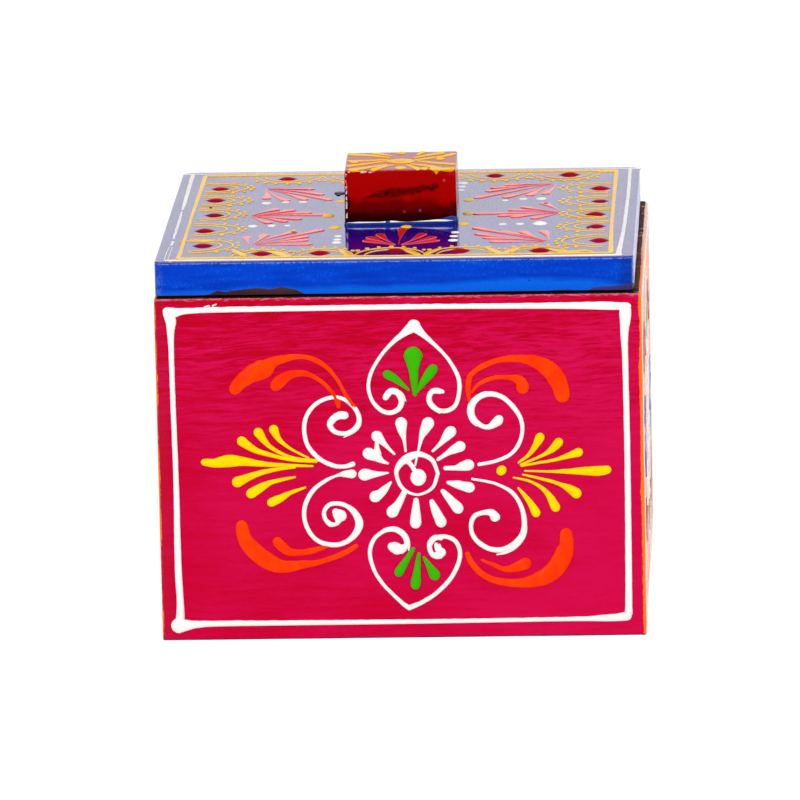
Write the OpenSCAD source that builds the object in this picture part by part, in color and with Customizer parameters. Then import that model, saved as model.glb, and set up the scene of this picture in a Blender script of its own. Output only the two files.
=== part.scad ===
// Small wooden keepsake box with a loose lift-off lid, a block knob and raised-paint ornament.
// Millimetres. Origin at the centre of the underside, X to the right, Y to the back, Z up.

/* [Box] */
// Width across the painted front
box_w = 101.6; // [80:0.1:160]
// Depth from the front to the back
box_d = 101.6; // [80:0.1:160]
// Height of the four walls
box_h = 73.2; // [55:0.1:120]
// Thickness of the wall boards
wall_t = 6.5; // [4:0.1:10]
// Thickness of the bottom board
bottom_t = 4.5; // [3:0.1:8]

/* [Lid] */
// Thickness of the lid board
lid_t = 7.3; // [4:0.1:12]
// How much narrower than the box the lid is
lid_short_w = 1.7; // [0:0.1:3]
// How much shallower than the box the lid is
lid_short_d = 1; // [0:0.1:3]
// Where the loose lid lies, sideways
lid_shift_x = -0.65; // [-0.8:0.05:0.8]
// Where the loose lid lies, front to back
lid_shift_y = 0.5; // [-0.8:0.05:0.8]
// Gap between the rim and the lid
lid_gap = 0.3; // [0.2:0.1:0.8]
// Radius of the lid's corners in plan
lid_corner_r = 1.4; // [0.5:0.1:4]
// Thickness of the locating board under the lid
locator_t = 4; // [3:0.1:8]
// Play between the locating board and each wall when it is centred
locator_play = 1.2; // [0.9:0.1:2]

/* [Knob] */
// Width of the block knob
knob_w = 23.6; // [14:0.1:34]
// Depth of the block knob
knob_d = 21; // [14:0.1:34]
// Height of the block knob
knob_h = 11.8; // [9:0.1:20]
// Radius of the knob's upright edges
knob_corner_r = 0.7; // [0.3:0.1:3]
// How far in front of the lid's middle the knob sits
knob_forward = 2.2; // [0:0.1:4]
// Turn of the knob on the lid, in degrees
knob_turn = 0.8; // [-3:0.1:3]

/* [Fastenings] */
// Diameter of the brads
brad_d = 1.2; // [0.8:0.1:1.8]
// Length of the brads in the walls
brad_len = 18; // [12:0.5:25]
// Wood and filler over the head of each brad
brad_cover = 0.8; // [0.5:0.1:2]
// Clearance all round a brad or the screw in its bore
bore_fit = 0.02; // [0.01:0.01:0.1]
// Brads up each corner
brads_per_corner = 3; // [2:1:5]
// Brads through each of the two long walls into the bottom board
brads_in_bottom = 3; // [2:1:5]
// Depth that the lid's brads go into the lid board
lid_brad_bite = 3; // [2:0.1:3.5]
// Distance of the lid's brads from the edges of the locating board
lid_brad_inset = 8; // [4:0.5:14]
// Diameter of the knob screw's shank
screw_d = 3.5; // [2.5:0.1:5]
// Diameter of the knob screw's countersunk head
screw_head_d = 6.6; // [5.5:0.1:9]
// Depth that the screw goes into the knob
screw_bite = 7; // [4:0.1:8]

/* [Raised paint] */
// Height of the raised paint on the walls
relief_h = 0.5; // [0.2:0.05:1]
// Height of the raised paint on the lid and knob
lid_relief_h = 0.6; // [0.2:0.05:1]
// Half the width of a border line
line_r = 0.6; // [0.3:0.05:1]
// Distance of a wall's white border from the wall's edges
border_inset = 3; // [2:0.1:6]
// Radius of the paint blob at each corner of a border
corner_blob_r = 1.3; // [0.7:0.05:2]
// Distance of the lid's white border from the lid's edges
lid_line_inset = 1.8; // [1.2:0.1:4]
// Distance of the lid's yellow border from its white border
yellow_inset = 2.8; // [1.8:0.1:5]
// Scallops along each side of the lid
scallops_per_side = 5; // [3:1:8]
// Depth of a scallop, from the yellow border inwards
scallop_depth = 10; // [5:0.1:11]
// Spacing of the two lines of a scallop
scallop_spacing = 2; // [1.4:0.1:3]
// Half the width of a scallop line
scallop_line_r = 0.45; // [0.25:0.05:0.8]
// Half the width of the lid's white border line
lid_line_r = 0.5; // [0.3:0.05:0.8]
// Radius of the round end of a petal on the lid
petal_r = 1; // [0.5:0.05:1.3]
// Half the width of a petal on the lid, part way along it
petal_waist_r = 0.5; // [0.3:0.05:0.8]
// Half the width of the thin start of a petal or ray
petal_start_r = 0.3; // [0.2:0.05:0.5]
// Radius of the gold disc in the middle of the knob
sun_disc_r = 2.3; // [1.2:0.1:3]
// Radius of the round end of a gold ray on the knob
sun_ray_r = 0.9; // [0.5:0.05:1.1]
// Radius of the gold dots on the knob
sun_dot_r = 0.8; // [0.4:0.05:1]
// Radius of a ruby dot
ruby_r = 1.7; // [0.8:0.1:2.2]
// Room between the scallops and the fans of petals
fan_gap = 1.2; // [0.8:0.1:3]
// Room between the knob and the tips of the fans
fan_room = 4.6; // [4.2:0.1:7]
// Room between the knob and the middle of the yellow dots round it
knob_dot_room = 2; // [1.6:0.1:2.4]
// Radius of the yellow dots round the knob
knob_dot_r = 1.2; // [0.5:0.1:1.4]
// Radius of the white dots between the fans
white_dot_r = 0.9; // [0.5:0.1:1.2]
// Spacing of the white dots
white_dot_step = 4; // [2.6:0.1:5]

/* [Hidden] */
$fn = 32;
cut = 1;                                    // overshoot of a cut past the face it opens on

inner_w = box_w - 2 * wall_t;               // clear width between the side walls
inner_d = box_d - 2 * wall_t;               // clear depth between the front and back walls
lid_w = box_w - lid_short_w;
lid_d = box_d - lid_short_d;
lid_z = box_h + lid_gap;                    // underside of the lid board
lid_top = lid_z + lid_t;
locator_w = inner_w - 2 * locator_play;
locator_d = inner_d - 2 * locator_play;
knob_top = lid_top + knob_h;
bore_d = brad_d + 2 * bore_fit;
screw_bore_d = screw_d + 2 * bore_fit;
screw_head_h = (screw_head_d - screw_d) / 2; // a 90 degree countersink

// The panel that the stroke points below are laid out for; panels of other sizes stretch them.
art_w = 101.6;
art_h = 73.2;

// ---- Painted strokes: a path is a list of [x, height, half width], tail first ----

// White scrolls, each from the curl in its middle outwards
SCROLLS = [
  [[-12.4, 47.8, 0.85], [-14.2, 47, 0.65], [-14.7, 45.8, 0.65], [-13.8, 44.4, 0.55], [-12.2, 43.9, 0.5],
   [-10.3, 44.2, 0.6], [-8.8, 45.6, 0.65], [-8.6, 47.6, 0.55], [-9.7, 49.7, 0.5], [-11.9, 51.4, 0.45],
   [-14.6, 51.6, 0.45], [-17.5, 50.3, 0.48], [-19.5, 47.8, 0.5], [-20.1, 44.8, 0.5], [-19.4, 41.4, 0.52],
   [-17.2, 38.7, 0.52], [-14.3, 37.1, 0.5], [-11.8, 36.8, 0.45], [-10.1, 37.3, 0.6]],
  [[-13.2, 26.2, 1.4], [-13.6, 24.6, 0.5], [-14.8, 24.4, 0.5], [-16.1, 25.5, 0.5], [-16.3, 27.2, 0.5],
   [-15.2, 28.6, 0.5], [-13.4, 28.9, 0.5], [-11.4, 28.2, 0.5], [-9.8, 26.4, 0.6], [-9.2, 24.2, 0.65],
   [-10.3, 21.8, 0.6], [-12.4, 20.3, 0.55], [-15, 20, 0.55], [-17.6, 20.8, 0.5], [-19.5, 22.8, 0.5],
   [-20.5, 25.8, 0.5], [-20.1, 29.1, 0.52], [-18.3, 32, 0.5], [-15.7, 33.9, 0.4], [-13.4, 34.9, 0.32],
   [-12, 35.2, 0.7], [-10.3, 35.2, 1]],
  [[20.6, 46.2, 1.15], [19.3, 45.2, 0.75], [18, 44.9, 0.55], [16.4, 45.7, 0.6], [15.3, 47.3, 0.6],
   [15.4, 49.5, 0.5], [16.8, 51.2, 0.5], [19.2, 52, 0.6], [21.7, 51.2, 0.55], [23.8, 49.2, 0.55],
   [25.3, 46.8, 0.5], [25.7, 44.1, 0.45], [24.9, 41.2, 0.45], [23, 38.9, 0.42], [20, 37.6, 0.4],
   [16.5, 36.9, 0.4]],
  [[19.5, 25.6, 1.05], [18.9, 26.5, 0.8], [17, 26.5, 0.55], [15.2, 25.7, 0.55], [14.5, 23.8, 0.5],
   [14.9, 21.6, 0.5], [16.4, 19.8, 0.55], [18.7, 18.6, 0.58], [21.4, 18.6, 0.6], [23.8, 20, 0.65],
   [25.3, 22, 0.58], [25.7, 24.8, 0.6], [25, 28.1, 0.5], [23, 31, 0.45], [19.6, 32.8, 0.32],
   [15, 33.8, 0.28]]
];
// The sides of the two hearts, each from its point to its curl
HEARTS = [
  [[3.4, 66.8, 1.4], [1, 65, 0.75], [-1.2, 63.2, 0.48], [-3.6, 60.5, 0.4], [-5.6, 57.3, 0.42],
   [-6.4, 54, 0.43], [-5.7, 50.9, 0.43], [-4, 48.9, 0.5], [-2, 48.2, 0.5], [-0.1, 49.1, 0.52],
   [0.5, 50.9, 0.6], [-0.4, 52.6, 0.6], [-1.8, 52.8, 0.6], [-2.8, 51.6, 0.5]],
  [[3.4, 66.8, 1.4], [5.2, 65, 0.75], [7, 63.3, 0.48], [9.2, 61.1, 0.4], [11.1, 58.5, 0.42],
   [12.5, 55.5, 0.5], [12.6, 52.4, 0.5], [11.7, 49.6, 0.5], [9.9, 48.5, 0.52], [8.1, 48.7, 0.52],
   [6.7, 50, 0.55], [6.3, 51.5, 0.58], [7, 52.7, 0.6], [8.5, 52.6, 0.5]],
  [[1.2, 6.2, 0.6], [0.2, 6.8, 0.5], [-2, 8.9, 0.42], [-4.5, 11.7, 0.42], [-6.2, 14.8, 0.44],
   [-6.9, 18.1, 0.48], [-6, 21, 0.48], [-4, 22.7, 0.46], [-1.7, 23.1, 0.5], [0.1, 21.9, 0.46],
   [0.8, 20, 0.5], [-0.2, 18.9, 1.1], [-1.6, 19.2, 1.25]],
  [[1.2, 6.2, 0.6], [4, 7.4, 0.5], [7.2, 9.5, 0.48], [9.9, 12.3, 0.5], [11.6, 15.4, 0.5],
   [12.1, 18.2, 0.5], [11.1, 20.5, 0.5], [8.9, 21.5, 0.5], [6.7, 21, 0.58], [5.7, 19.4, 0.55],
   [6.3, 17.6, 0.6], [7.7, 17.5, 0.95], [8.1, 18, 1]]
];
// White petals round the flower
PETALS = [
  [[1.1, 40, 0.35], [0.3, 45.9, 1.3]], [[3.2, 36.6, 0.25], [4.1, 40.8, 0.5], [5.9, 45.7, 1.45]],
  [[6.7, 39.7, 0.35], [10.6, 44, 1.25]], [[7.9, 38.1, 0.5], [12.5, 40.8, 1.25]],
  [[9.4, 36.2, 0.5], [14.2, 36.8, 1.25]], [[9.9, 33.1, 0.4], [12.3, 32.3, 1], [14.5, 31.8, 1.1]],
  [[8.8, 31.1, 0.55], [11.8, 27.5, 1.15]], [[6.3, 29, 0.6], [8.1, 24.5, 1.1]],
  [[3, 29.4, 0.5], [2.9, 24.4, 1.2]], [[0.3, 31, 0.5], [-2, 26.7, 1.25]],
  [[-2.2, 33.2, 0.4], [-5.4, 30.4, 1.25]], [[-2.7, 35.4, 0.3], [-7.6, 35, 1.35]],
  [[-2.7, 37.6, 0.25], [-5.3, 38.6, 1.05], [-6.6, 39.6, 1.3]],
  [[-1.4, 39.5, 0.3], [-3.8, 41.9, 0.7], [-4.7, 43.4, 1.2]]
];
FLOWER = [3.4, 35];                         // middle of the flower
FLOWER_RING_R = 4.25;                       // radius of the flower's ring, at the middle of the line
FLOWER_EYE_R = 1.8;                         // radius of the dot in the ring
LEAVES = [
  [[3.3, 52.2, 0.4], [3.2, 55, 0.9], [3.1, 57.6, 1.3], [3.1, 60.3, 2.1]],
  [[2, 53.1, 0.25], [-0.5, 55.3, 0.8], [-2.3, 56.4, 1]],
  [[3.7, 52.7, 0.4], [5.9, 55.8, 1], [7.1, 57.4, 1.15]],
  [[2.2, 18.8, 0.45], [-0.8, 14, 1.05]], [[3.4, 17.7, 0.4], [2.6, 11.3, 1.15]],
  [[4.5, 17, 0.3], [6.6, 13.3, 1.25]]
];
PLUMES = [
  [[-19.4, 38.8, 0.25], [-22.9, 40.7, 0.3], [-25.4, 42.8, 0.6], [-26.5, 44.9, 1.05]],
  [[-18, 38.2, 0.3], [-20.7, 38.5, 0.3], [-24, 39.3, 0.35], [-27.6, 41.5, 0.55], [-29.7, 44.3, 1.1]],
  [[-17.7, 37.9, 0.25], [-22.3, 38.3, 0.35], [-26.3, 39.2, 0.45], [-30.5, 40.6, 0.7], [-33.2, 42.5, 1.15]],
  [[-18.5, 37, 0.25], [-25.3, 37.3, 0.45], [-30, 37.7, 0.7], [-33.3, 38.2, 1.05], [-36.2, 38.3, 1.4],
   [-39, 37.9, 1.05], [-41.2, 38.1, 0.8]],
  [[-22.3, 36.8, 0.3], [-25.3, 36.5, 0.4], [-29, 35.8, 0.6], [-32, 34.8, 0.85], [-34.3, 33.8, 1.25]],
  [[-22.3, 34.7, 0.25], [-24.7, 34.2, 0.4], [-27.3, 33.6, 0.55], [-29.5, 32.5, 0.95], [-31.5, 31.3, 1.15]],
  [[-20.2, 32.4, 0.25], [-23.3, 31.3, 0.5], [-25.3, 30.2, 0.85], [-27.3, 29.3, 1]],
  [[24.8, 37.2, 0.25], [27, 38.9, 0.45], [28.5, 41, 0.8], [29.3, 42.5, 1.05]],
  [[25.3, 36.7, 0.3], [28, 37.9, 0.3], [30.2, 38.9, 0.42], [32, 40.1, 0.8], [33.2, 41.4, 1.05]],
  [[25.4, 36.5, 0.25], [28.9, 37.1, 0.3], [32, 37.6, 0.35], [34.8, 38.4, 0.6], [37.3, 39.2, 1]],
  [[26.1, 35.4, 0.2], [31.4, 35.2, 0.3], [35.1, 35.2, 0.6], [38.9, 35.2, 0.95], [41.5, 35.2, 1.15],
   [43.2, 35.4, 1]],
  [[25.6, 34.6, 0.2], [30.1, 33.5, 0.35], [33.2, 32.5, 0.45], [35.4, 31.4, 0.9], [36.7, 30.5, 1.2]],
  [[23.7, 34, 0.2], [27, 33.2, 0.3], [29.5, 31.7, 0.45], [31.1, 29.9, 0.75], [32.3, 27.6, 1.1]],
  [[24.6, 31.7, 0.25], [27, 28.6, 0.7], [28.2, 26.4, 1]],
  [[21.1, 35.5, 1.05], [21.2, 35.6, 1.05]]
];
SWOOSHES = [
  [[-10.9, 52.4, 0.4], [-11.4, 53.4, 0.5], [-13.2, 56.3, 0.55], [-15.6, 58.6, 0.6], [-18, 59.9, 0.62],
   [-20.8, 60.4, 0.75], [-23.5, 60.4, 0.9], [-26.2, 59.6, 1.35], [-28.6, 58.1, 2.3], [-31.6, 57, 2.1],
   [-33.7, 55.1, 1.5], [-34.9, 53.2, 0.95]],
  [[-13.8, 52.6, 0.4], [-14.4, 53.2, 0.5], [-15.8, 54.9, 0.5], [-17.6, 56.1, 0.5],
   [-19.4, 56.7, 0.62], [-21.2, 56.7, 0.85], [-23.7, 56.4, 1.2], [-25.2, 55.5, 1.5], [-26, 54.1, 1.2]],
  [[14.3, 50.9, 0.4], [14.4, 52.2, 0.5], [14.6, 54.3, 0.6], [15.7, 56.4, 0.65], [17.8, 57.7, 0.6],
   [20.4, 58.7, 0.58], [23, 59.2, 0.65], [25.4, 59.5, 0.78], [27.6, 59.3, 0.95], [29.8, 58.4, 1.35],
   [31.7, 56.9, 1.75], [33.3, 54.8, 1.85], [34.2, 52.6, 1.6], [34.2, 50.8, 1.15]],
  [[15.4, 51.9, 0.35], [16.2, 53, 0.45], [17.8, 54.2, 0.5], [20.1, 55, 0.52], [22.5, 55.3, 0.62],
   [24.6, 55.1, 0.95], [25.9, 54.1, 1.35], [26.1, 52.6, 1.1]],
  [[-9.8, 19.3, 0.45], [-12.7, 17.9, 0.62], [-15.3, 16.9, 0.6], [-18.3, 16, 0.62], [-21.3, 15.5, 0.8],
   [-24, 15.1, 1.1], [-26.8, 15.3, 1.4], [-29.4, 16.6, 1.85], [-31.9, 19, 1.9], [-33.5, 22, 1.6],
   [-33.9, 24.3, 1.3]],
  [[-16.2, 19.1, 0.3], [-17.7, 18.8, 0.45], [-20, 18.4, 0.62], [-22.7, 18.3, 0.78],
   [-24.4, 18.7, 1], [-25.7, 19.8, 1.1], [-26.2, 20.9, 0.9]],
  [[13.7, 17.4, 0.5], [14.7, 15.7, 0.5], [16.4, 14, 0.5], [18.9, 12.6, 0.55], [21.4, 11.8, 0.7],
   [23.9, 11.4, 0.8], [26.4, 11.4, 0.95], [28.9, 11.6, 1.15], [31.4, 13, 1.6], [33.2, 15.4, 1.8],
   [34.4, 18.2, 1.75], [34.8, 20.7, 1.5], [34.2, 22.2, 1.05]],
  [[16.9, 16.2, 0.2], [18.9, 15.3, 0.35], [20.8, 14.6, 0.5], [23.2, 14.2, 0.75], [25.1, 14.6, 1.1],
   [26, 15.7, 1.05]]
];
// [share of the fan's length, angle off the fan's middle] of a petal
SIDE_FAN = [[1, 0], [0.72, 21], [0.61, 38], [0.5, 56]];
CORNER_FAN = [[1, 0], [0.72, 12], [0.54, 28], [0.46, 47]];
// Gold strokes on the knob: [reach as a share of the half width, of the half depth]
SUN_RAYS = [[0.85, 0.85], [0.45, 0.9], [0.9, 0.5]];
SUN_DOTS = [[0.85, 0], [-0.85, -0.05], [0, 0.82], [0, -0.78]];

// ---- Helpers ----

// A point between b and c on the smooth curve through a, b, c and d
function curve_point(a, b, c, d, t) =
  0.5 * (2 * b + (c - a) * t + (2 * a - 5 * b + 4 * c - d) * t * t + (3 * b - a - 3 * c + d) * t * t * t);
function smooth_path(p, steps = 2) = [
  for (i = [0:len(p) - 2]) for (s = [0:steps - 1])
    curve_point(p[max(i - 1, 0)], p[i], p[i + 1], p[min(i + 2, len(p) - 1)], s / steps),
  p[len(p) - 1]
];
function heading(p, i) = let (a = p[max(i - 1, 0)], b = p[min(i + 1, len(p) - 1)])
  atan2(b[1] - a[1], b[0] - a[0]);
function beside(point, angle) = [point[0] + point[2] * cos(angle), point[1] + point[2] * sin(angle)];
// Closed outline round a path, with round ends
function stroke_outline(p) = let (n = len(p) - 1, cap = [-60, -30, 0, 30, 60]) concat(
  [for (i = [0:n]) beside(p[i], heading(p, i) - 90)],
  [for (a = cap) beside(p[n], heading(p, n) + a)],
  [for (i = [n:-1:0]) beside(p[i], heading(p, i) + 90)],
  [for (a = cap) beside(p[0], heading(p, 0) + 180 + a)]
);
// Stretches a path from the size it was laid out for to the size of its panel
function fitted(path, sx, sy) = [for (p = path) [p[0] * sx, p[1] * sy, p[2]]];
// Outline of a rectangle with rounded corners, centred
function round_rect(w, d, r) = [
  for (q = [[1, 1, 0], [-1, 1, 90], [-1, -1, 180], [1, -1, 270]]) for (a = [0:22.5:90])
    [q[0] * (w / 2 - r) + r * cos(q[2] + a), q[1] * (d / 2 - r) + r * sin(q[2] + a)]
];
// Outline of half an ellipse that stands on the x axis, as a path
function arch(half_w, depth, r) = [for (a = [0:18:180]) [half_w * cos(a), depth * sin(a), r]];

module stroke(path, h = relief_h) linear_extrude(h) polygon(stroke_outline(path));
module dot(x, y, r, h = relief_h) translate([x, y, 0]) cylinder(r = r, h = h);
module on_front() translate([0, -box_d / 2, 0]) rotate([90, 0, 0]) children();
module on_back() rotate([0, 0, 180]) on_front() children();
module on_right() rotate([0, 0, 90]) translate([0, -box_w / 2, 0]) rotate([90, 0, 0]) children();
module on_left() rotate([0, 0, 180]) on_right() children();
module on_lid(z) translate([lid_shift_x, lid_shift_y, z]) children();
module on_knob(z) on_lid(z) translate([0, -knob_forward, 0]) rotate([0, 0, knob_turn]) children();

// ---- Raised paint on one wall, drawn upright with the wall's bottom edge on the x axis ----

module wall_paint(paths, w, smooth) for (path = paths) {
  p = fitted(path, w / art_w, box_h / art_h);
  stroke(smooth && len(p) > 2 ? smooth_path(p) : p);
}
module border(w, h) {
  x = w / 2 - border_inset;
  low = border_inset;
  high = h - border_inset;
  for (side = [-1, 1]) stroke([[side * x, low, line_r], [side * x, high, line_r]]);
  for (level = [low, high]) stroke([[-x, level, line_r], [x, level, line_r]]);
  for (side = [-1, 1]) for (level = [low, high]) dot(side * x, level, corner_blob_r);
}
module white_lines(w) {
  border(w, box_h);
  wall_paint(SCROLLS, w, true);
  wall_paint(HEARTS, w, true);
  wall_paint(PETALS, w, false);
  translate([FLOWER[0] * w / art_w, FLOWER[1] * box_h / art_h, 0]) {
    difference() {
      cylinder(r = FLOWER_RING_R + line_r, h = relief_h);
      translate([0, 0, -cut]) cylinder(r = FLOWER_RING_R - line_r, h = relief_h + 2 * cut);
    }
    cylinder(r = FLOWER_EYE_R, h = relief_h);
  }
}
module plumes(w) wall_paint(PLUMES, w, true);
module swooshes(w) wall_paint(SWOOSHES, w, true);
module leaves(w) wall_paint(LEAVES, w, true);

// ---- Bores ----

corner_x = box_w / 2 - wall_t / 2;
corner_levels = [for (i = [0:brads_per_corner - 1]) box_h * (i + 0.5) / brads_per_corner];
bottom_places = [for (i = [0:brads_in_bottom - 1]) inner_w * ((i + 0.5) / brads_in_bottom - 0.5)];
// Rods that lie front to back, from the cover on the outer face inwards, at both ends of the box
module rods_in_y(x, z, d) for (turn = [0, 180]) rotate([0, 0, turn])
  translate([x, -box_d / 2 + brad_cover, z]) rotate([-90, 0, 0]) cylinder(d = d, h = brad_len);
module corner_rods(d) for (x = [-corner_x, corner_x]) for (z = corner_levels) rods_in_y(x, z, d);
module bottom_rods(d) for (x = bottom_places) rods_in_y(x, bottom_t / 2, d);
lid_brad_x = locator_w / 2 - lid_brad_inset;
lid_brad_y = locator_d / 2 - lid_brad_inset;
module lid_rods(d) on_lid(lid_z - locator_t) for (x = [-lid_brad_x, lid_brad_x])
  for (y = [-lid_brad_y, lid_brad_y]) translate([x, y, 0]) cylinder(d = d, h = locator_t + lid_brad_bite);
module screw_shape(d, head_d) on_knob(lid_z - locator_t) {
  cylinder(d = d, h = locator_t + lid_t + screw_bite);
  cylinder(d1 = head_d, d2 = d, h = screw_head_h);
}

// ---- Wooden and metal pieces ----

module end_wall(colour) color(colour) difference() {
  translate([-box_w / 2, -box_d / 2, 0]) cube([box_w, wall_t, box_h]);
  corner_rods(bore_d);
  bottom_rods(bore_d);
}
module side_wall(colour) color(colour) difference() {
  translate([box_w / 2 - wall_t, -inner_d / 2, 0]) cube([wall_t, inner_d, box_h]);
  corner_rods(bore_d);
}
module front_wall() end_wall("crimson");
module back_wall() rotate([0, 0, 180]) end_wall("crimson");
module right_wall() side_wall("darkorange");
module left_wall() rotate([0, 0, 180]) side_wall("darkorange");
module bottom_board() color("saddlebrown") difference() {
  translate([-inner_w / 2, -inner_d / 2, 0]) cube([inner_w, inner_d, bottom_t]);
  bottom_rods(bore_d);
}
module wall_brads() color("gray") corner_rods(brad_d);
module bottom_brads() color("gray") bottom_rods(brad_d);
module lid_board() color("royalblue") difference() {
  on_lid(lid_z) linear_extrude(lid_t) polygon(round_rect(lid_w, lid_d, lid_corner_r));
  lid_rods(bore_d);
  screw_shape(screw_bore_d, screw_head_d);
}
module lid_locating_board() color("saddlebrown") difference() {
  on_lid(lid_z - locator_t) translate([-locator_w / 2, -locator_d / 2, 0])
    cube([locator_w, locator_d, locator_t]);
  lid_rods(bore_d);
  screw_shape(screw_bore_d, screw_head_d + 2 * bore_fit);
}
module lid_brads() color("gray") lid_rods(brad_d);
module knob() color("darkred") difference() {
  on_knob(lid_top) linear_extrude(knob_h) polygon(round_rect(knob_w, knob_d, knob_corner_r));
  screw_shape(screw_bore_d, screw_head_d);
}
module knob_screw() color("silver") screw_shape(screw_d, screw_head_d);

// ---- Raised paint on each wall ----

module front_white_lines() color("white") on_front() white_lines(box_w);
module front_yellow_plumes() color("gold") on_front() plumes(box_w);
module front_orange_swooshes() color("orangered") on_front() swooshes(box_w);
module front_green_leaves() color("limegreen") on_front() leaves(box_w);
module back_white_lines() color("white") on_back() white_lines(box_w);
module back_yellow_plumes() color("gold") on_back() plumes(box_w);
module back_orange_swooshes() color("orangered") on_back() swooshes(box_w);
module back_green_leaves() color("limegreen") on_back() leaves(box_w);
module left_white_lines() color("white") on_left() white_lines(box_d);
module left_blue_plumes() color("royalblue") on_left() plumes(box_d);
module left_crimson_swooshes() color("crimson") on_left() swooshes(box_d);
module left_green_leaves() color("limegreen") on_left() leaves(box_d);
module right_white_lines() color("white") on_right() white_lines(box_d);
module right_blue_plumes() color("royalblue") on_right() plumes(box_d);
module right_crimson_swooshes() color("crimson") on_right() swooshes(box_d);
module right_green_leaves() color("limegreen") on_right() leaves(box_d);

// ---- Raised paint on the lid and the knob ----

yellow_edge = lid_line_inset + yellow_inset;
yellow_x = lid_w / 2 - yellow_edge;         // the yellow border, from the lid's middle
yellow_y = lid_d / 2 - yellow_edge;
knob_x = knob_w / 2;                        // the knob's reach from the lid's middle
knob_y = knob_d / 2 + knob_forward;
fan_x = yellow_x - scallop_depth - fan_gap; // the roots of the fans
fan_y = yellow_y - scallop_depth - fan_gap;
// Places something at the middle of each scallop, with $pitch the room that a scallop has: those of the
// left and right sides run into the corners, and those of the front and back stop short of them.
module each_scallop() for (side = [0:3]) {
  across = side % 2 == 0;
  $pitch = 2 * (across ? yellow_x - scallop_depth : yellow_y) / scallops_per_side;
  rotate([0, 0, side * 90]) for (i = [0:scallops_per_side - 1])
    translate([$pitch * (i + 0.5 - scallops_per_side / 2), across ? -yellow_y : -yellow_x, 0]) children();
}
module lid_frame_line(inset, r) {
  x = lid_w / 2 - inset;
  y = lid_d / 2 - inset;
  for (side = [-1, 1]) {
    stroke([[side * x, -y, r], [side * x, y, r]], lid_relief_h);
    stroke([[-x, side * y, r], [x, side * y, r]], lid_relief_h);
  }
}
module lid_white_lines() color("white") on_lid(lid_top) {
  lid_frame_line(lid_line_inset, lid_line_r);
  for (sx = [-1, 1]) for (sy = [-1, 1]) for (k = [-1, 0, 1]) {
    dot(sx * ((fan_x + knob_x + fan_room) / 2 + k * white_dot_step), sy * knob_y, white_dot_r, lid_relief_h);
    dot(sx * knob_x, sy * ((fan_y + knob_y + fan_room) / 2 + k * white_dot_step), white_dot_r, lid_relief_h);
  }
}
module lid_yellow_scallops() color("gold") on_lid(lid_top) {
  lid_frame_line(yellow_edge, scallop_line_r);
  each_scallop() {
    stroke(arch($pitch / 2 - scallop_line_r / 2, scallop_depth, scallop_line_r), lid_relief_h);
    stroke(arch($pitch / 2 - scallop_spacing, scallop_depth - scallop_spacing, scallop_line_r), lid_relief_h);
  }
  for (sx = [-1:1]) for (sy = [-1:1]) if (sx != 0 || sy != 0)
    dot(sx * (knob_x + knob_dot_room), sy * (knob_y + knob_dot_room), knob_dot_r, lid_relief_h);
}
module lid_ruby_dots() color("firebrick") on_lid(lid_top)
  each_scallop() dot(0, scallop_depth / 2 - scallop_line_r, ruby_r, lid_relief_h);
// A fan of petals with its root at the first point and the tip of its middle petal at the second
module palmette(root, tip, fan) {
  reach = norm(tip - root);
  translate([root[0], root[1], 0]) for (petal = fan) for (side = petal[1] == 0 ? [1] : [-1, 1])
    rotate([0, 0, atan2(tip[1] - root[1], tip[0] - root[0]) + side * petal[1]])
      stroke([[petal[0] * reach * 0.1, 0, petal_start_r], [petal[0] * reach * 0.7, 0, petal_waist_r],
              [petal[0] * reach - petal_r, 0, petal_r]], lid_relief_h);
}
module lid_red_palmettes() color("red") on_lid(lid_top) {
  for (s = [-1, 1]) {
    palmette([s * fan_x, 0], [s * (knob_x + fan_room), 0], SIDE_FAN);
    palmette([0, s * fan_y], [0, s * (knob_y + fan_room)], SIDE_FAN);
    for (t = [-1, 1])
      palmette([s * (fan_x - fan_gap), t * (fan_y - fan_gap)],
               [s * (knob_x + fan_room), t * (knob_y + fan_room)], CORNER_FAN);
  }
}
module knob_gold_sunburst() color("goldenrod") on_knob(knob_top) {
  cylinder(r = sun_disc_r, h = lid_relief_h);
  for (sx = [-1, 1]) for (sy = [-1, 1]) for (ray = SUN_RAYS) {
    tip = [sx * ray[0] * knob_w / 2, sy * ray[1] * knob_d / 2];
    stroke([[tip[0] * 0.3, tip[1] * 0.3, petal_start_r], [tip[0] * 0.9, tip[1] * 0.9, sun_ray_r]],
           lid_relief_h);
  }
  for (d = SUN_DOTS) dot(d[0] * knob_w / 2, d[1] * knob_d / 2, sun_dot_r, lid_relief_h);
}

front_wall();
back_wall();
left_wall();
right_wall();
bottom_board();
wall_brads();
bottom_brads();
lid_board();
lid_locating_board();
lid_brads();
knob();
knob_screw();
front_white_lines();
front_yellow_plumes();
front_orange_swooshes();
front_green_leaves();
back_white_lines();
back_yellow_plumes();
back_orange_swooshes();
back_green_leaves();
left_white_lines();
left_blue_plumes();
left_crimson_swooshes();
left_green_leaves();
right_white_lines();
right_blue_plumes();
right_crimson_swooshes();
right_green_leaves();
lid_white_lines();
lid_yellow_scallops();
lid_ruby_dots();
lid_red_palmettes();
knob_gold_sunburst();
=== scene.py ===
from math import atan2, cos, hypot, pi, radians, sin, tanh

import bmesh
import bpy
from mathutils import Matrix, Vector, noise


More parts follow.
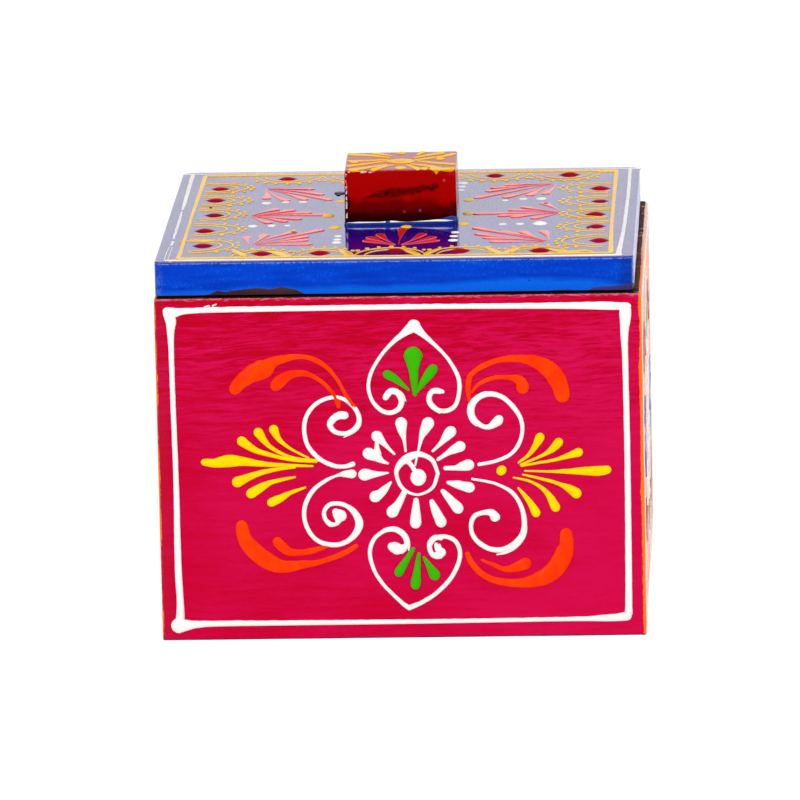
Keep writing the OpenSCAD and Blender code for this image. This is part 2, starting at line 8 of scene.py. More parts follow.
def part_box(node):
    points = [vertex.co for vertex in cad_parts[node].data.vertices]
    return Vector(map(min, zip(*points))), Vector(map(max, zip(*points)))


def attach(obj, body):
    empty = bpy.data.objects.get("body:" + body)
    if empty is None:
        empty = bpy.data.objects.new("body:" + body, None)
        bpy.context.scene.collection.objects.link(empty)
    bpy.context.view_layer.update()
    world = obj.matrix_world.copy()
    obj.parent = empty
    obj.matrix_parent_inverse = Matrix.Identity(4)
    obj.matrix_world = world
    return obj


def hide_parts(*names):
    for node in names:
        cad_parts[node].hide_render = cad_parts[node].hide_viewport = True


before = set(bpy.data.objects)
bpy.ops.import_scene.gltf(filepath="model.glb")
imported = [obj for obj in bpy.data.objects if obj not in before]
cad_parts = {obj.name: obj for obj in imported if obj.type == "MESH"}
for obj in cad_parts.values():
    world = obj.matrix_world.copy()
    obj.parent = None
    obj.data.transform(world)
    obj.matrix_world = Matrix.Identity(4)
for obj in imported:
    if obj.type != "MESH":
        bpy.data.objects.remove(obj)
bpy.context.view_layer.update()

MM = 0.001

# ---------------------------------------------------------------------------------------------
# Sizes, in millimetres, read from the fixed frame


def span(node):
    """Lowest and highest corner of a node of the frame, in millimetres."""
    low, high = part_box(node)
    return low / MM, high / MM


WALL_LOW, WALL_HIGH = span("front_wall")
LID_LOW, LID_HIGH = span("lid_board")
KNOB_LOW, KNOB_HIGH = span("knob")
HALF_W = WALL_HIGH.x                    # half the width across the painted front
HALF_D = -WALL_LOW.y                    # half the depth
BOX_H = WALL_HIGH.z                     # height of the walls
LID_TOP = LID_HIGH.z
KNOB_TOP = KNOB_HIGH.z
KNOB_MID = (KNOB_LOW + KNOB_HIGH) / 2
KNOB_TURN = 0.8                         # degrees that the knob is turned by

# Rounding of the boards' edges
WALL_EDGE_R = 0.4
WALL_BACK_R = 1.6                       # the box's upright corners at the back
LID_EDGE_R = 0.28
LID_CORNER_R = 1.4                      # the lid's front corners in plan
LID_BACK_R = 2.6                        # and its back corners
KNOB_EDGE_R = 0.45
KNOB_TAPER = 0.992                      # the knob's top as a share of its base
KNOB_SHY = 0.02                         # the knob stays this far inside its own box

# Faces planed by hand: pitch of the net they are cut into, how far that net stays from the edges,
# how far a face sinks at most, and how long its hollows are
WALL_PLANED = {"step": 5, "margin": 1, "sink": .09, "hollow": 9}
LID_PLANED = {"step": 6, "margin": 1.6, "sink": .1, "hollow": 12}
KNOB_PLANED = {"step": 2.2, "margin": 1.1, "sink": .07, "hollow": 5}

# The lid's paint that laps up the knob's foot
BEAD_H = 0.85
BEAD_HALF_W = 0.36
BEAD_SETBACK = 0.2                      # from the knob's sides to the middle of the bead
BEAD_STEP = 0.6
BEAD_SINK = 0.1
BEAD_SWELL_FROM = 6                     # at the front, from here to the right, it climbs higher
BEAD_SWELL_RUN = 5.8
BEAD_SWELL = 1.1
BEAD_SWELL_DEPTH = 1.2                  # as far back as this from its front edge
BEAD_UNEVEN = 0.25                      # share by which its width wanders

# Raised paint
RELIEF_H = 0.4                          # height of the strokes on the front and the back
SIDE_RELIEF_H = 0.16                    # and at the sides
DOME = 0.6                              # how fast a stroke's height follows its width
LINE_H = 0.13                           # height of the thin lines on the lid and the knob
DROP_RISE = 0.16                        # height of a drop on the lid over the square of its radius
FILM_H = 0.08                           # height of the lid's flat petals
FILM_RISE = 0.25                        # how fast that height follows their width
WALL_ART_SHARE = 0.995                  # the ornament is drawn in this much towards the walls' rim
LID_ART_SHARE = 0.976                   # and the lid's pattern towards its front edge,
LID_ART_FRONT = -52                     # that is, towards this line across the lid
STROKE_STEP = 0.02                      # share by which a stroke stands higher than the one before it
STROKE_STEPS = 5                        # and the number of strokes until that starts again
SINK = 0.3                              # how far a stroke reaches into its board
PATH_STEP = 0.55                        # distance between the points of a finished stroke
END_TURNS = (25, 50, 70, 88)            # degrees at which a round end has a point
TIP_R = 0.03
HAND_DRIFT = 0.05                       # how far a hand strays
HAND_SWELL = 0.07                       # and how unevenly it squeezes, as a share of the width

# ---------------------------------------------------------------------------------------------
# Painted strokes on a wall. A stroke is a list of (across, up, half width), tail first.

# The four scrolls beside the flower
SCROLLS = [
    [(-12.4, 47.8, .85), (-14.2, 47, .65), (-14.7, 45.8, .65), (-13.8, 44.4, .55), (-12.2, 43.9, .5),
     (-10.3, 44.2, .6), (-8.8, 45.6, .65), (-8.6, 47.6, .55), (-9.7, 49.7, .5), (-11.9, 51.4, .45),
     (-14.6, 51.6, .45), (-17.5, 50.3, .48), (-19.5, 47.8, .5), (-20.1, 44.8, .5),
     (-19.4, 41.4, .52), (-17.2, 38.7, .52), (-14.3, 37.1, .5), (-11.8, 36.8, .45),
     (-10.1, 37.3, .6)],
    [(-13.2, 26.2, 1.4), (-13.6, 24.6, .5), (-14.8, 24.4, .5), (-16.1, 25.5, .5), (-16.3, 27.2, .5),
     (-15.2, 28.6, .5), (-13.4, 28.9, .5), (-11.4, 28.2, .5), (-9.8, 26.4, .6), (-9.2, 24.2, .65),
     (-10.3, 21.8, .6), (-12.4, 20.3, .55), (-15, 20, .55), (-17.6, 20.8, .5), (-19.5, 22.8, .5),
     (-20.5, 25.8, .5), (-20.1, 29.1, .52), (-18.3, 32, .5), (-15.7, 33.9, .4), (-13.4, 34.9, .32),
     (-12, 35.2, .7), (-10.3, 35.2, 1)],
    [(20.6, 46.2, 1.15), (19.3, 45.2, .75), (18, 44.9, .55), (16.4, 45.7, .6), (15.3, 47.3, .6),
     (15.4, 49.5, .5), (16.8, 51.2, .5), (19.2, 52, .6), (21.7, 51.2, .55), (23.8, 49.2, .55),
     (25.3, 46.8, .5), (25.7, 44.1, .45), (24.9, 41.2, .45), (23, 38.9, .42), (20, 37.6, .4),
     (16.5, 36.9, .4)],
    [(19.5, 25.6, 1.05), (18.9, 26.5, .8), (17, 26.5, .55), (15.2, 25.7, .55), (14.5, 23.8, .5),
     (14.9, 21.6, .5), (16.4, 19.8, .55), (18.7, 18.6, .58), (21.4, 18.6, .6), (23.8, 20, .65),
     (25.3, 22, .58), (25.7, 24.8, .6), (25, 28.1, .5), (23, 31, .45), (19.6, 32.8, .32),
     (15, 33.8, .28)],
]
# The hearts above and below it, each in two halves, and the tick at the lower right curl
HEARTS = [
    [(3.4, 66.8, 1.4), (1, 65, .75), (-1.2, 63.2, .48), (-3.6, 60.5, .4), (-5.6, 57.3, .42),
     (-6.4, 54, .43), (-5.7, 50.9, .43), (-4, 48.9, .5), (-2, 48.2, .52), (-.1, 49.1, .6),
     (.5, 50.9, .72), (-.4, 52.6, .72), (-1.8, 52.8, .75), (-2.8, 51.6, .7)],
    [(3.4, 66.8, 1.4), (5.2, 65, .75), (7, 63.3, .48), (9.2, 61.1, .4), (11.1, 58.5, .42),
     (12.5, 55.5, .5), (12.6, 52.4, .5), (11.7, 49.6, .5), (9.9, 48.5, .52), (8.1, 48.7, .52),
     (6.7, 50, .55), (6.3, 51.5, .58), (7, 52.7, .6), (8.5, 52.6, .5)],
    [(1.2, 6.2, .6), (.2, 6.8, .5), (-2, 8.9, .42), (-4.5, 11.7, .42), (-6.2, 14.8, .44),
     (-6.9, 18.1, .48), (-6, 21, .48), (-4, 22.7, .46), (-1.7, 23.1, .5), (.1, 21.9, .46),
     (.8, 20, .5), (-.2, 18.9, 1.1), (-1.6, 19.2, 1.25)],
    [(1.2, 6.2, .6), (4, 7.4, .5), (7.2, 9.5, .48), (9.9, 12.3, .5), (11.6, 15.4, .5),
     (12.1, 18.2, .5), (11.1, 20.5, .5), (8.9, 21.5, .5), (6.7, 21, .58), (5.7, 19.4, .55),
     (6.3, 17.6, .6), (7.7, 17.5, .95), (8.1, 18, 1)],
    [(8.1, 18.2, .6), (7.8, 19.7, .28)],
]
# Where the cone went over a curl twice
CURL_SECONDS = [
    [(1.4, 50.7, .1), (.9, 51.8, .3), (0, 52.7, .42), (-1.1, 53, .45), (-2.1, 52.6, .5),
     (-2.6, 51.8, .45)],
    [(9.1, 52.6, .45), (8.1, 53, .48), (7, 52.8, .55), (6.3, 51.7, .58), (6.3, 50.2, .52),
     (7.2, 49, .4), (8.4, 48.1, .2)],
    [(-9.5, 50, .18), (-8.6, 48.1, .4), (-8.5, 46.3, .42), (-9.3, 44.7, .36), (-10.6, 43.7, .24),
     (-11.8, 43.1, .12)],
    [(-11.6, 47.8, .9), (-12.6, 47.8, .88), (-13.8, 47.2, .8), (-14.5, 46.2, .7)],
    [(-11.6, 28.6, .26), (-10, 27.4, .42), (-8.8, 25.5, .52), (-8.7, 23.9, .52), (-9.7, 22, .42),
     (-11.4, 20.5, .3), (-13.1, 19.8, .15)],
    [(-13, 25.4, .5), (-14.1, 24.3, .34), (-15.2, 24.2, .34), (-16, 25.1, .34)],
    [(-12.9, 26.3, 1.35), (-13.8, 27, .85)],
    [(-3.8, 23.1, .32), (-2, 23.5, .38), (-.3, 22.8, .48), (.9, 21.4, .5), (1.3, 19.7, .4),
     (1.3, 18.6, .15)],
    [(-1.2, 19, 1.4), (-2.1, 19.4, 1.05)],
    [(20.6, 51.4, .2), (18.4, 52.3, .35), (16.5, 51.5, .45), (15, 50, .52), (14.6, 48, .45),
     (15.1, 46.2, .3), (16.1, 45.2, .15)],
    [(20.8, 46.5, .98), (19.7, 45.6, .85)],
    [(25.9, 25.3, .25), (25.9, 22.7, .45), (25.2, 20.8, .5), (23.6, 19, .5), (21.7, 17.9, .35),
     (19.9, 17.5, .18)],
    [(19.7, 25.6, .98), (18.9, 26.4, .85)],
    [(8.1, 21.1, .5), (7, 21.4, .55), (5.9, 20.4, .58), (5.7, 18.9, .55), (6.2, 17.6, .42),
     (7.2, 17, .4)],
    [(8.2, 18.1, 1), (7.4, 18.8, .7), (7.1, 19.8, .45)],
]
# The flower's petals, clockwise from the top, and a run between two of them
PETALS = [
    [(1.1, 40, .28), (.85, 42.4, .45), (.45, 44.3, 1), (.3, 45.9, 1.33)],
    [(3.05, 36.9, .22), (3.95, 40.7, .33), (4.5, 42.9, .6), (5.1, 44.3, 1.05), (5.9, 45.8, 1.38)],
    [(6.8, 39.9, .28), (8.5, 41.5, .52), (9.5, 42.7, .95), (10.6, 44, 1.3)],
    [(7.9, 38.1, .38), (9.9, 39.4, .58), (11.1, 40.1, .95), (12.5, 40.8, 1.28)],
    [(9.4, 36.2, .5), (11.5, 36.2, .58), (12.8, 36.5, 1), (14.2, 36.8, 1.27)],
    [(9.9, 33.1, .4), (11.6, 32.7, .9), (14.3, 32, 1.22)],
    [(8.8, 31.2, .55), (10.2, 29.5, .95), (11.8, 27.6, 1.25)],
    [(6.4, 29, .6), (7.2, 26.9, 1), (8.2, 24.7, 1.25)],
    [(3.1, 29.3, .6), (3, 27, 1), (2.9, 24.6, 1.3)],
    [(.7, 31.2, .62), (-.5, 28.9, .85), (-1.9, 27, 1.35)],
    [(-2.2, 33.2, .3), (-3.4, 31.9, .8), (-4.3, 31, 1), (-5.4, 30.3, 1.33)],
    [(-2.7, 35.3, .2), (-5.2, 35.1, .7), (-7.6, 35, 1.37)],
    [(-2.7, 37.4, .26), (-4.1, 38, .62), (-5, 38.8, 1.1), (-6.6, 39.5, 1.36)],
    [(-1.3, 39.4, .28), (-2.9, 41.1, .48), (-3.8, 42.1, .8), (-4.8, 43.2, 1.32)],
    [(-4.9, 42.6, .4), (-4.9, 41, .55), (-4.9, 39.5, .95)],
]
FLOWER = (3.4, 35.1)                    # middle of the flower
FLOWER_R = 4.82                         # outside of the ring
# The ring round its eye, as (degrees, half width)
FLOWER_RING = [(0, .45), (40, .5), (75, .6), (100, .82), (125, .95), (150, .72), (180, .48), (225, .42),
               (270, .28), (315, .38)]
FLOWER_TONGUE = [(1.2, 38.2, .8), (2.1, 37.1, .5), (2.8, 36, .55)]
FLOWER_EYE = (3.65, 34.3, 1.85)         # place and radius
# The white line round the wall, with two ticks above it
BORDER = [
    [(-48, 70.1, 1.25), (-47.5, 68.3, 1.2), (-47.6, 66.4, .88), (-47.6, 62, .62), (-47.5, 50, .6),
     (-47.3, 35, .62), (-47.35, 16, .78), (-47.1, 8, .8), (-47.2, 4.5, 1)],
    [(-48.2, 70.5, .95), (-46.9, 70.2, 1.15), (-45.3, 70.45, .76), (-42, 70.65, .64),
     (-36, 70.75, .64), (-20, 70.8, .62), (5, 70.85, .6), (20, 70.75, .62), (35, 70.65, .75),
     (44, 70.5, .92), (48.1, 70.35, .8)],
    [(47.7, 69.6, 1.35), (47.6, 67.2, 1.2), (47.4, 64.2, .86), (47.5, 57, .68), (47.6, 35, .68),
     (47.4, 8, .78), (47.3, 4.5, .9)],
    [(-40.4, 71.4, .12), (-39.4, 71.6, .2)],
    [(-38.6, 71.6, .2), (-37.9, 71.9, .14)],
    [(-47.4, 2.9, 1.75), (-45.6, 3, 1.2), (-43, 3.15, .78), (-36, 3.25, .64), (0, 3.2, .52),
     (34, 3.35, .5), (43, 3.5, .8), (46.9, 3.8, 1)],
]
LEAVES = [
    [(3.3, 52.2, .5), (3.2, 55, .85), (3.1, 57.4, 1.12), (3.1, 58.9, 1.6), (3.1, 60.2, 2.08)],
    [(2, 53.1, .25), (-.5, 55.3, .8), (-2.3, 56.4, 1)],
    [(3.7, 52.7, .4), (5.9, 55.8, 1), (7.1, 57.4, 1.15)],
    [(2.2, 18.8, .45), (-.8, 14, 1.05)],
    [(3.4, 17.7, .4), (2.6, 11.3, 1.15)],
    [(4.5, 17, .3), (6.6, 13.3, 1.25)],
]
# The two plumes, and the dot at the root of the right one
PLUMES = [
    [(-19.4, 38.8, .25), (-22.9, 40.7, .3), (-25.4, 42.8, .6), (-26.5, 44.9, 1.05)],
    [(-16.8, 38.2, .3), (-20.7, 38.5, .3), (-24, 39.3, .35), (-27.6, 41.5, .55), (-29.7, 44.3, 1.1)],
    [(-17.7, 37.9, .25), (-22.3, 38.3, .35), (-26.3, 39.2, .45), (-30.5, 40.6, .7),
     (-33.2, 42.5, 1.15)],
    [(-18.5, 37, .25), (-25.3, 37.3, .45), (-30, 37.7, .7), (-33.3, 38.2, 1.05), (-36.2, 38.3, 1.4),
     (-39, 37.9, 1.05), (-41.2, 38.1, .8)],
    [(-22.3, 36.8, .3), (-25.3, 36.5, .4), (-29, 35.8, .6), (-32, 34.8, .85), (-34.3, 33.8, 1.25)],
    [(-22.3, 34.7, .25), (-24.7, 34.2, .4), (-27.3, 33.6, .55), (-29.5, 32.5, .95),
     (-31.5, 31.3, 1.15)],
    [(-20.2, 32.4, .25), (-23.3, 31.3, .5), (-25.3, 30.2, .85), (-27.3, 29.3, 1)],
    [(24.8, 37.2, .25), (27, 38.9, .45), (28.5, 41, .8), (29.3, 42.5, 1.05)],
    [(25.3, 36.7, .3), (28, 37.9, .3), (30.2, 38.9, .42), (32, 40.1, .8), (33.2, 41.4, 1.05)],
    [(25.4, 36.5, .25), (28.9, 37.1, .3), (32, 37.6, .35), (34.8, 38.4, .6), (37.3, 39.2, 1)],
    [(26.1, 35.4, .2), (31.4, 35.2, .3), (35.1, 35.2, .6), (38.9, 35.2, .95), (41.5, 35.2, 1.15),
     (43.2, 35.4, 1)],
    [(25.6, 34.6, .2), (30.1, 33.5, .35), (33.2, 32.5, .45), (35.4, 31.4, .9), (36.7, 30.5, 1.2)],
    [(23.7, 34, .2), (27, 33.2, .3), (29.5, 31.7, .45), (31.1, 29.9, .75), (32.3, 27.6, 1.1)],
    [(24.6, 31.7, .25), (27, 28.6, .7), (28.2, 26.4, 1)],
    [(21.1, 35.5, 1.05), (21.2, 35.6, 1.05)],
]
SWOOSHES = [
    [(-9.5, 49.5, .5), (-10.3, 50.6, .52), (-11.5, 52.8, .42), (-13, 55.6, .43), (-14.8, 57.9, .5),
     (-16.9, 59.4, .58), (-19, 60.3, .56), (-21.2, 60.5, .6), (-23.3, 60.2, .8), (-25.4, 59.7, 1.08),
     (-26.6, 59.2, 1.35), (-27.8, 58.2, 2.1), (-29.4, 57.5, 2.2), (-30.8, 56.9, 1.95),
     (-32.2, 56, 1.75), (-33.4, 55, 1.55), (-34.3, 53.9, 1.38)],
    [(-12.8, 49.8, .5), (-13.3, 51.4, .52), (-14.3, 53.1, .47), (-16.1, 55, .47), (-17.9, 56.2, .51),
     (-19.5, 56.8, .65), (-21.3, 56.9, .8), (-23.1, 56.5, 1.09), (-24.5, 55.6, 1.34),
     (-25.7, 54.5, 1.38)],
    [(-12.7, 51, .45), (-12.8, 50.1, .55)],
    [(14.8, 50, .3), (14.6, 51.6, .5), (14.5, 53.5, .65), (14.9, 55.7, .65), (16.2, 57.1, .58),
     (18.2, 58.2, .65), (20.8, 59.2, .65), (23.6, 59.5, .8), (26.1, 59.4, 1), (28.3, 58.9, 1.35),
     (30.2, 58, 1.7), (31.9, 56.7, 1.95), (33.1, 55, 2), (33.8, 53.4, 1.9), (34.2, 51.7, 1.72)],
    [(15.3, 52.4, .3), (16.4, 53.8, .43), (18.2, 54.9, .5), (20.3, 55.5, .5), (22.5, 55.5, .52),
     (24.3, 55.3, .9), (25.5, 54.6, 1.25), (25.9, 53.4, 1.5)],
    [(-9.8, 19.6, .55), (-12.2, 18.2, .62), (-15.3, 17, .62), (-18.5, 16.1, .7), (-21.2, 15.8, 1),
     (-23.9, 15.4, 1.3), (-26.2, 15.6, 1.6), (-28.5, 16.7, 1.9), (-30.6, 18.3, 1.95),
     (-32.3, 20.1, 1.8), (-33.3, 21.9, 1.56), (-33.7, 24.1, 1.38)],
    [(-14.3, 20.1, .22), (-16.4, 19.5, .45), (-19.2, 18.7, .7), (-21.9, 18.4, .72),
     (-23.8, 18.6, .94), (-25.2, 19.6, 1.15), (-26.2, 20.7, 1.13)],
    [(13.7, 17.6, .58), (14.2, 16.2, .65), (15.6, 14.3, .7), (17.7, 12.6, .72), (20.2, 11.7, .8),
     (23.1, 11.3, .94), (26, 11.4, 1.2), (28.1, 11.9, 1.6), (30.3, 12.8, 1.85), (32.1, 14.3, 2.05),
     (33.5, 16.5, 2.1), (34.5, 19.2, 1.7), (34.5, 21.6, 1.4)],
    [(16.7, 16.3, .28), (18.8, 15.4, .43), (21, 14.4, .58), (22.8, 14.4, .87), (24.4, 14.9, 1.2),
     (25.7, 15.4, 1.36)],
]

# The lid's pattern, laid out on its top: X to the right, Y to the back
LID_WHITE = [
    [(-48.3, 48.2, .5), (-48.2, 30, .48), (-48.1, 14, .4), (-48.1, 7.5, .25)],
    [(-48.1, 5.5, .2), (-48, -6, .34), (-48, -20, .28), (-48, -24.5, .18)],
    [(-47.9, -28, .36), (-48, -31.5, .28)],
    [(-48.4, -33.5, .08), (-48.6, -46.5, .1)],
    [(-47.7, -33.5, .08), (-47.8, -46.5, .1)],
    [(-48.3, -47.9, .35), (-30, -48.2, .5), (0, -48.2, .45), (30, -48.3, .5), (46.4, -48.1, .6)],
    [(47.1, 48.3, .42), (47.15, 20, .4), (46.9, -12, .42), (46.6, -30, .46), (46.1, -47.8, .66)],
    [(-48, 48.3, .25), (-42, 48.4, .08), (41, 48.4, .08), (47.1, 48.3, .3)],
]
LID_YELLOW = [
    [(-45.4, 45.6, .55), (-45.6, 10, .42), (-45.6, -20, .4), (-45.7, -45.6, .5)],
    [(-45.8, -46, .6), (-20, -45.9, .4), (10, -46, .36), (44.6, -45.7, .5)],
    [(44.15, 46, .5), (44.15, 10, .42), (44.2, -20, .44), (44.5, -45.4, .62)],
    [(40.6, 45.3, .5), (42.4, 45.9, .85), (43.9, 45, .7)],
    [(-45.2, 46.2, .5), (0, 46.4, .4), (44.2, 46.3, .5)],
    [(-46.6, -27.6, .2), (-43, -27.2, .45), (-39.5, -27, .3)],
]
# Scallops stand on the yellow frame line; these are the joints between them, along each side
LEFT_JOINTS = [-42, -22.6, -5.4, 11.6, 26.4, 41.2]
RIGHT_JOINTS = [-41, -23.5, -8.4, 5.9, 20.8, 36]
FRONT_JOINTS = [-34.9, -22.4, -9.1, 5.9, 21.9, 35.9]
BACK_JOINTS = [-34.5, -19.8, -4.8, 10.2, 25.6, 41]
# and where that line runs at each side
LEFT_LINE = -45.4
RIGHT_LINE = 44.3
FRONT_LINE = -45.8
BACK_LINE = 46.2
COLUMN_DEPTH = 10                       # from the frame line to the head of a scallop at the sides
ROW_DEPTH = 8.6                         # and at the front and the back
# A scallop's two arcs: share of half a pitch, share of the depth, half width
SCALLOP_ARCS = [(.99, 1.0, .2), (.72, .76, .19)]
ARC_TURNS = range(4, 177, 12)           # degrees
ARC_THIN = .75                          # share of its width that an arc has at its ends,
ARC_SWELL = .35                         # and what it gains towards its middle
DEPTH_WANDER = .1                       # how unevenly deep the scallops are, as a share
COLUMN_FILL = .8                        # share of the pitch that a scallop at the sides fills
DROP_SPREAD = 1.1                       # the drops ran out this much
RUBY_SPREAD = .9                        # and the rubies drew together
LENS_LONG = 1.2                         # a ruby's length over its breadth
LENS_TURNS = range(-78, 79, 12)         # degrees
# The row of beads outside a scallop
FRINGE_OUT = 1.3                        # from the outer arc
FRINGE_BEADS = 7
FRINGE_FROM = 38                        # degrees from the ends of the arc
FRINGE_R = .5
FRINGE_WANDER = .3                      # unevenness of the beads' places and radii
# Places where the yellow was wiped over the front scallops
LID_SMEARS = [
    [(-34.8, -37.5, .4), (-33.3, -41.2, .8), (-31.9, -44, .6)],
    [(-27.2, -40, .6), (-25.2, -41.5, 1.1), (-24.1, -43.5, 1.1), (-23, -45.2, .7)],
    [(-12.1, -39.4, .4), (-10.9, -42.8, .9), (-9.5, -45.6, .7)],
    [(.7, -38.1, .4), (2.5, -41.5, .8), (4.2, -44.8, .7)],
    [(8.6, -39.4, .4), (6.8, -42.4, .8), (6, -45, .6)],
    [(18.1, -38, .4), (19.8, -41.7, .9), (21.5, -45.2, .8)],
    [(25, -40.4, .4), (23.2, -43, .8), (22.4, -45.2, .7)],
    [(31.7, -41.4, .5), (34, -43.6, .9), (36.5, -44.4, .9), (38.8, -43.2, .6), (40.5, -44.2, .5)],
]
# Place and radius
RUBIES = [
    (-41.5, 33.3, 1.6), (-41.8, 19.7, 1.7), (-41.1, 2.4, 1.7), (-42.1, -15.3, 1.8), (-41.5, -31.9, 1.8),
    (41.2, 27.7, 1.9), (41.4, 12.9, 1.5), (40.7, -2.2, 1.8), (41.2, -16.1, 1.7), (42.1, -31.9, 1.8),
    (-27.4, 43.9, 1.7), (-12, 44, 1.7), (3, 44.2, 1.7), (17.9, 44.5, 1.7), (34.2, 44.5, 1.9),
    (-28.6, -41.4, 1.8), (-16.4, -41.7, 1.9), (-.6, -40.3, 1.8), (13, -41.4, 1.9), (29.8, -42.1, 1.9),
]
# Fans of petals: the root of each, then the tips
FANS = [
    ((-.2, -34.6), [(0, -16.4), (-4.5, -22.4), (4.4, -22.4), (-6.3, -25.6), (6.6, -26), (-6.9, -28.9),
                    (7.3, -29.6)]),
    ((-31.5, -32), [(-17.7, -16.4), (-23.4, -18.1), (-29.1, -21), (-32.8, -23.1), (-20.6, -23.5),
                    (-20.6, -27.4), (-19.5, -31.7)]),
    ((-33.4, 1.1), [(-17.7, 1.5), (-21.3, 4), (-24.9, 6.9), (-28.4, 7.9), (-23.1, -2.8), (-25.9, -5.3),
                    (-29.1, -6.7)]),
    ((-32, 33), [(-17.4, 19), (-19.5, 25.4), (-22, 31.9), (-30.9, 21.5), (-26.6, 18.7), (-22.7, 19.7)]),
    ((31.6, -32.4), [(15.9, -16.4), (16.6, -23.1), (18.4, -27.4), (20.1, -31.7), (21.9, -21),
                     (25.9, -21.7), (30.1, -21)]),
    ((33.4, .4), [(15.5, .4), (20.9, -2.4), (23.7, -3.9), (28, -5.6), (23, 4), (25.5, 6.9),
                  (29.4, 11.1)]),
    ((31.6, 34), [(15.1, 19), (21.2, 19), (17.3, 26.5), (18.4, 30.4), (26.2, 21.1), (29.4, 22.6),
                  (21.6, 33.3)]),
    ((-.6, 36), [(-.6, 18), (-5, 23.5), (3.8, 23.5), (-7, 27), (5.8, 27), (-7.6, 30.6), (6.6, 30.6)]),
]
FAN_PETAL = [(.1, .1), (.45, .26), (.72, .7), (1, 1.2)]     # share of the length, half width
FAN_BOW = .12                           # how far a petal bows out, over its length
# Place and radius
WHITE_DOTS = [
    (-32.1, -10.6, 1.1), (-28.1, -10.3, .95), (-24.7, -10.3, .75), (-30.6, 15.6, 1.1), (-26.4, 16.5, .95),
    (-22.7, 16.5, .95), (-13.4, -23.1, .85), (-13.4, -27.1, .85), (-13.4, -30.3, 1), (11.4, -20.6, .9),
    (11.2, -24.9, .9), (11.2, -29.6, 1.05), (21.2, -12.1, .9), (24.8, -12.1, .95), (29.1, -12.1, 1.5),
    (20.9, 15.1, .85), (24.8, 16.5, .95), (28.7, 16.5, 1.2), (11.2, 36.1, 1), (11.1, 32, .9),
    (11, 28, .8), (-13.2, 35.6, .9), (-13.3, 31.4, .9), (-13.4, 27.4, .8),
]
YELLOW_DOTS = [
    (-16.5, .1, 1.25), (-14.5, -13.5, 1.25), (.7, -13.7, 1.2), (12.9, -11.1, 1.2), (13.4, .4, 1.15),
    (13, 16.3, 1.15), (-14.4, 16.5, 1.1), (-.4, 16.4, 1.1),
]
# Stray specks: place, radius and paint
LID_SPECKS = [
    (-15.2, 26.1, 1.3, "dark"), (-15.4, 23.8, .5, "dark"), (-23.1, -16.2, .5, "gold"),
    (-23.1, -18.4, .6, "dark"), (29.8, 10.8, .55, "dark"), (39.4, -17.8, .4, "dark"),
    (-42.4, 11.4, .3, "dark"), (-47.4, -49, .45, "gold"),
]

# The knob's top, about the middle of the knob
SUN_SWELL = 1.35                        # the gold ran out this much
SUN_EYE = [(-2.6, -.6, .5), (-1.2, .3, .8), (.3, .5, .95), (1.5, .1, .8), (2.5, -.9, .45)]
SUN_UNDERLINE = [(-2.4, -.9, .3), (-1.2, -2, .42), (.2, -2.3, .5), (1.6, -2, .42), (2.7, -1, .3)]
SUN_RAYS = [
    [(-3, -4.6, .25), (-6.1, -6.9, .5), (-9.9, -9.4, .9)],
    [(-3.1, 0, .22), (-7.4, -3.1, .36), (-10.9, -5, .6)],
    [(-2.6, 3.6, .25), (-6.5, 6.3, .5), (-10.6, 8, .85)],
    [(-2.3, 5.7, .25), (-3.9, 7.2, .4), (-5.6, 8.6, .6)],
    [(-1.5, -4.7, .2), (-3, -6.2, .35), (-5.5, -9.6, .65)],
    [(3.4, 6.3, .25), (3.9, 8, .4), (4.4, 9.3, .6)],
    [(3, 3.4, .25), (5.5, 5.8, .45), (8.2, 7.9, .75)],
    [(3.1, .5, .25), (8.5, 4, .4), (10.9, 6.6, .6)],
    [(3.7, -.6, .25), (6.9, -3, .4), (10.9, -4.8, .6)],
    [(2.3, -4, .25), (6.1, -6.9, .5), (8, -9.6, .85)],
    [(1.4, -4.9, .2), (2.6, -7.2, .35), (3.8, -9.6, .6)],
    [(6.8, -9.8, .5), (8.6, -10, .6), (10.8, -9.9, .55)],
    [(-2.8, 1.5, .2), (-7, .6, .3), (-10.8, .4, .5)],
]
SUN_DOTS = [(-9.9, -.7, .75), (.1, -8.2, 1), (8.3, 1.5, .8), (-.2, 8.8, .8), (5.2, -9.4, .7)]


def curve_point(a, b, c, d, t):
    """A point between b and c on the smooth curve through a, b, c and d."""
    return tuple(.5 * (2 * q + (r - p) * t + (2 * p - 5 * q + 4 * r - s) * t * t
                       + (3 * q - p - 3 * r + s) * t ** 3) for p, q, r, s in zip(a, b, c, d))


def smooth_stroke(points):
    """The stroke's points with more between them."""
    path = []
    last = len(points) - 1
    for i in range(last):
        a, b, c, d = points[max(i - 1, 0)], points[i], points[i + 1], points[min(i + 2, last)]
        cuts = max(1, round(hypot(c[0] - b[0], c[1] - b[1]) / PATH_STEP))
        path += [curve_point(a, b, c, d, k / cuts) for k in range(cuts)]
    return path + [points[-1]]


def round_end(path, end):
    """The points that close a stroke with a round end, from the last full one outwards."""
    (x, y, r), (back_x, back_y, _) = (path[0], path[1]) if end == 0 else (path[-1], path[-2])
    away = atan2(y - back_y, x - back_x)
    return [(x + r * sin(a) * cos(away), y + r * sin(a) * sin(away), max(r * cos(a), TIP_R))
            for a in map(radians, END_TURNS)]


def unsteady(path, seed):
    """The same stroke with the small swelling and wander of a hand."""
    made = []
    for x, y, r in path:
        swell = noise.noise(Vector((x * .7, y * .7, seed)))
        drift = noise.noise(Vector((x * .25 + 40, y * .25, seed)))
        made.append((x + HAND_DRIFT * drift, y + HAND_DRIFT * swell, r * (1 + HAND_SWELL * swell)))
    return made


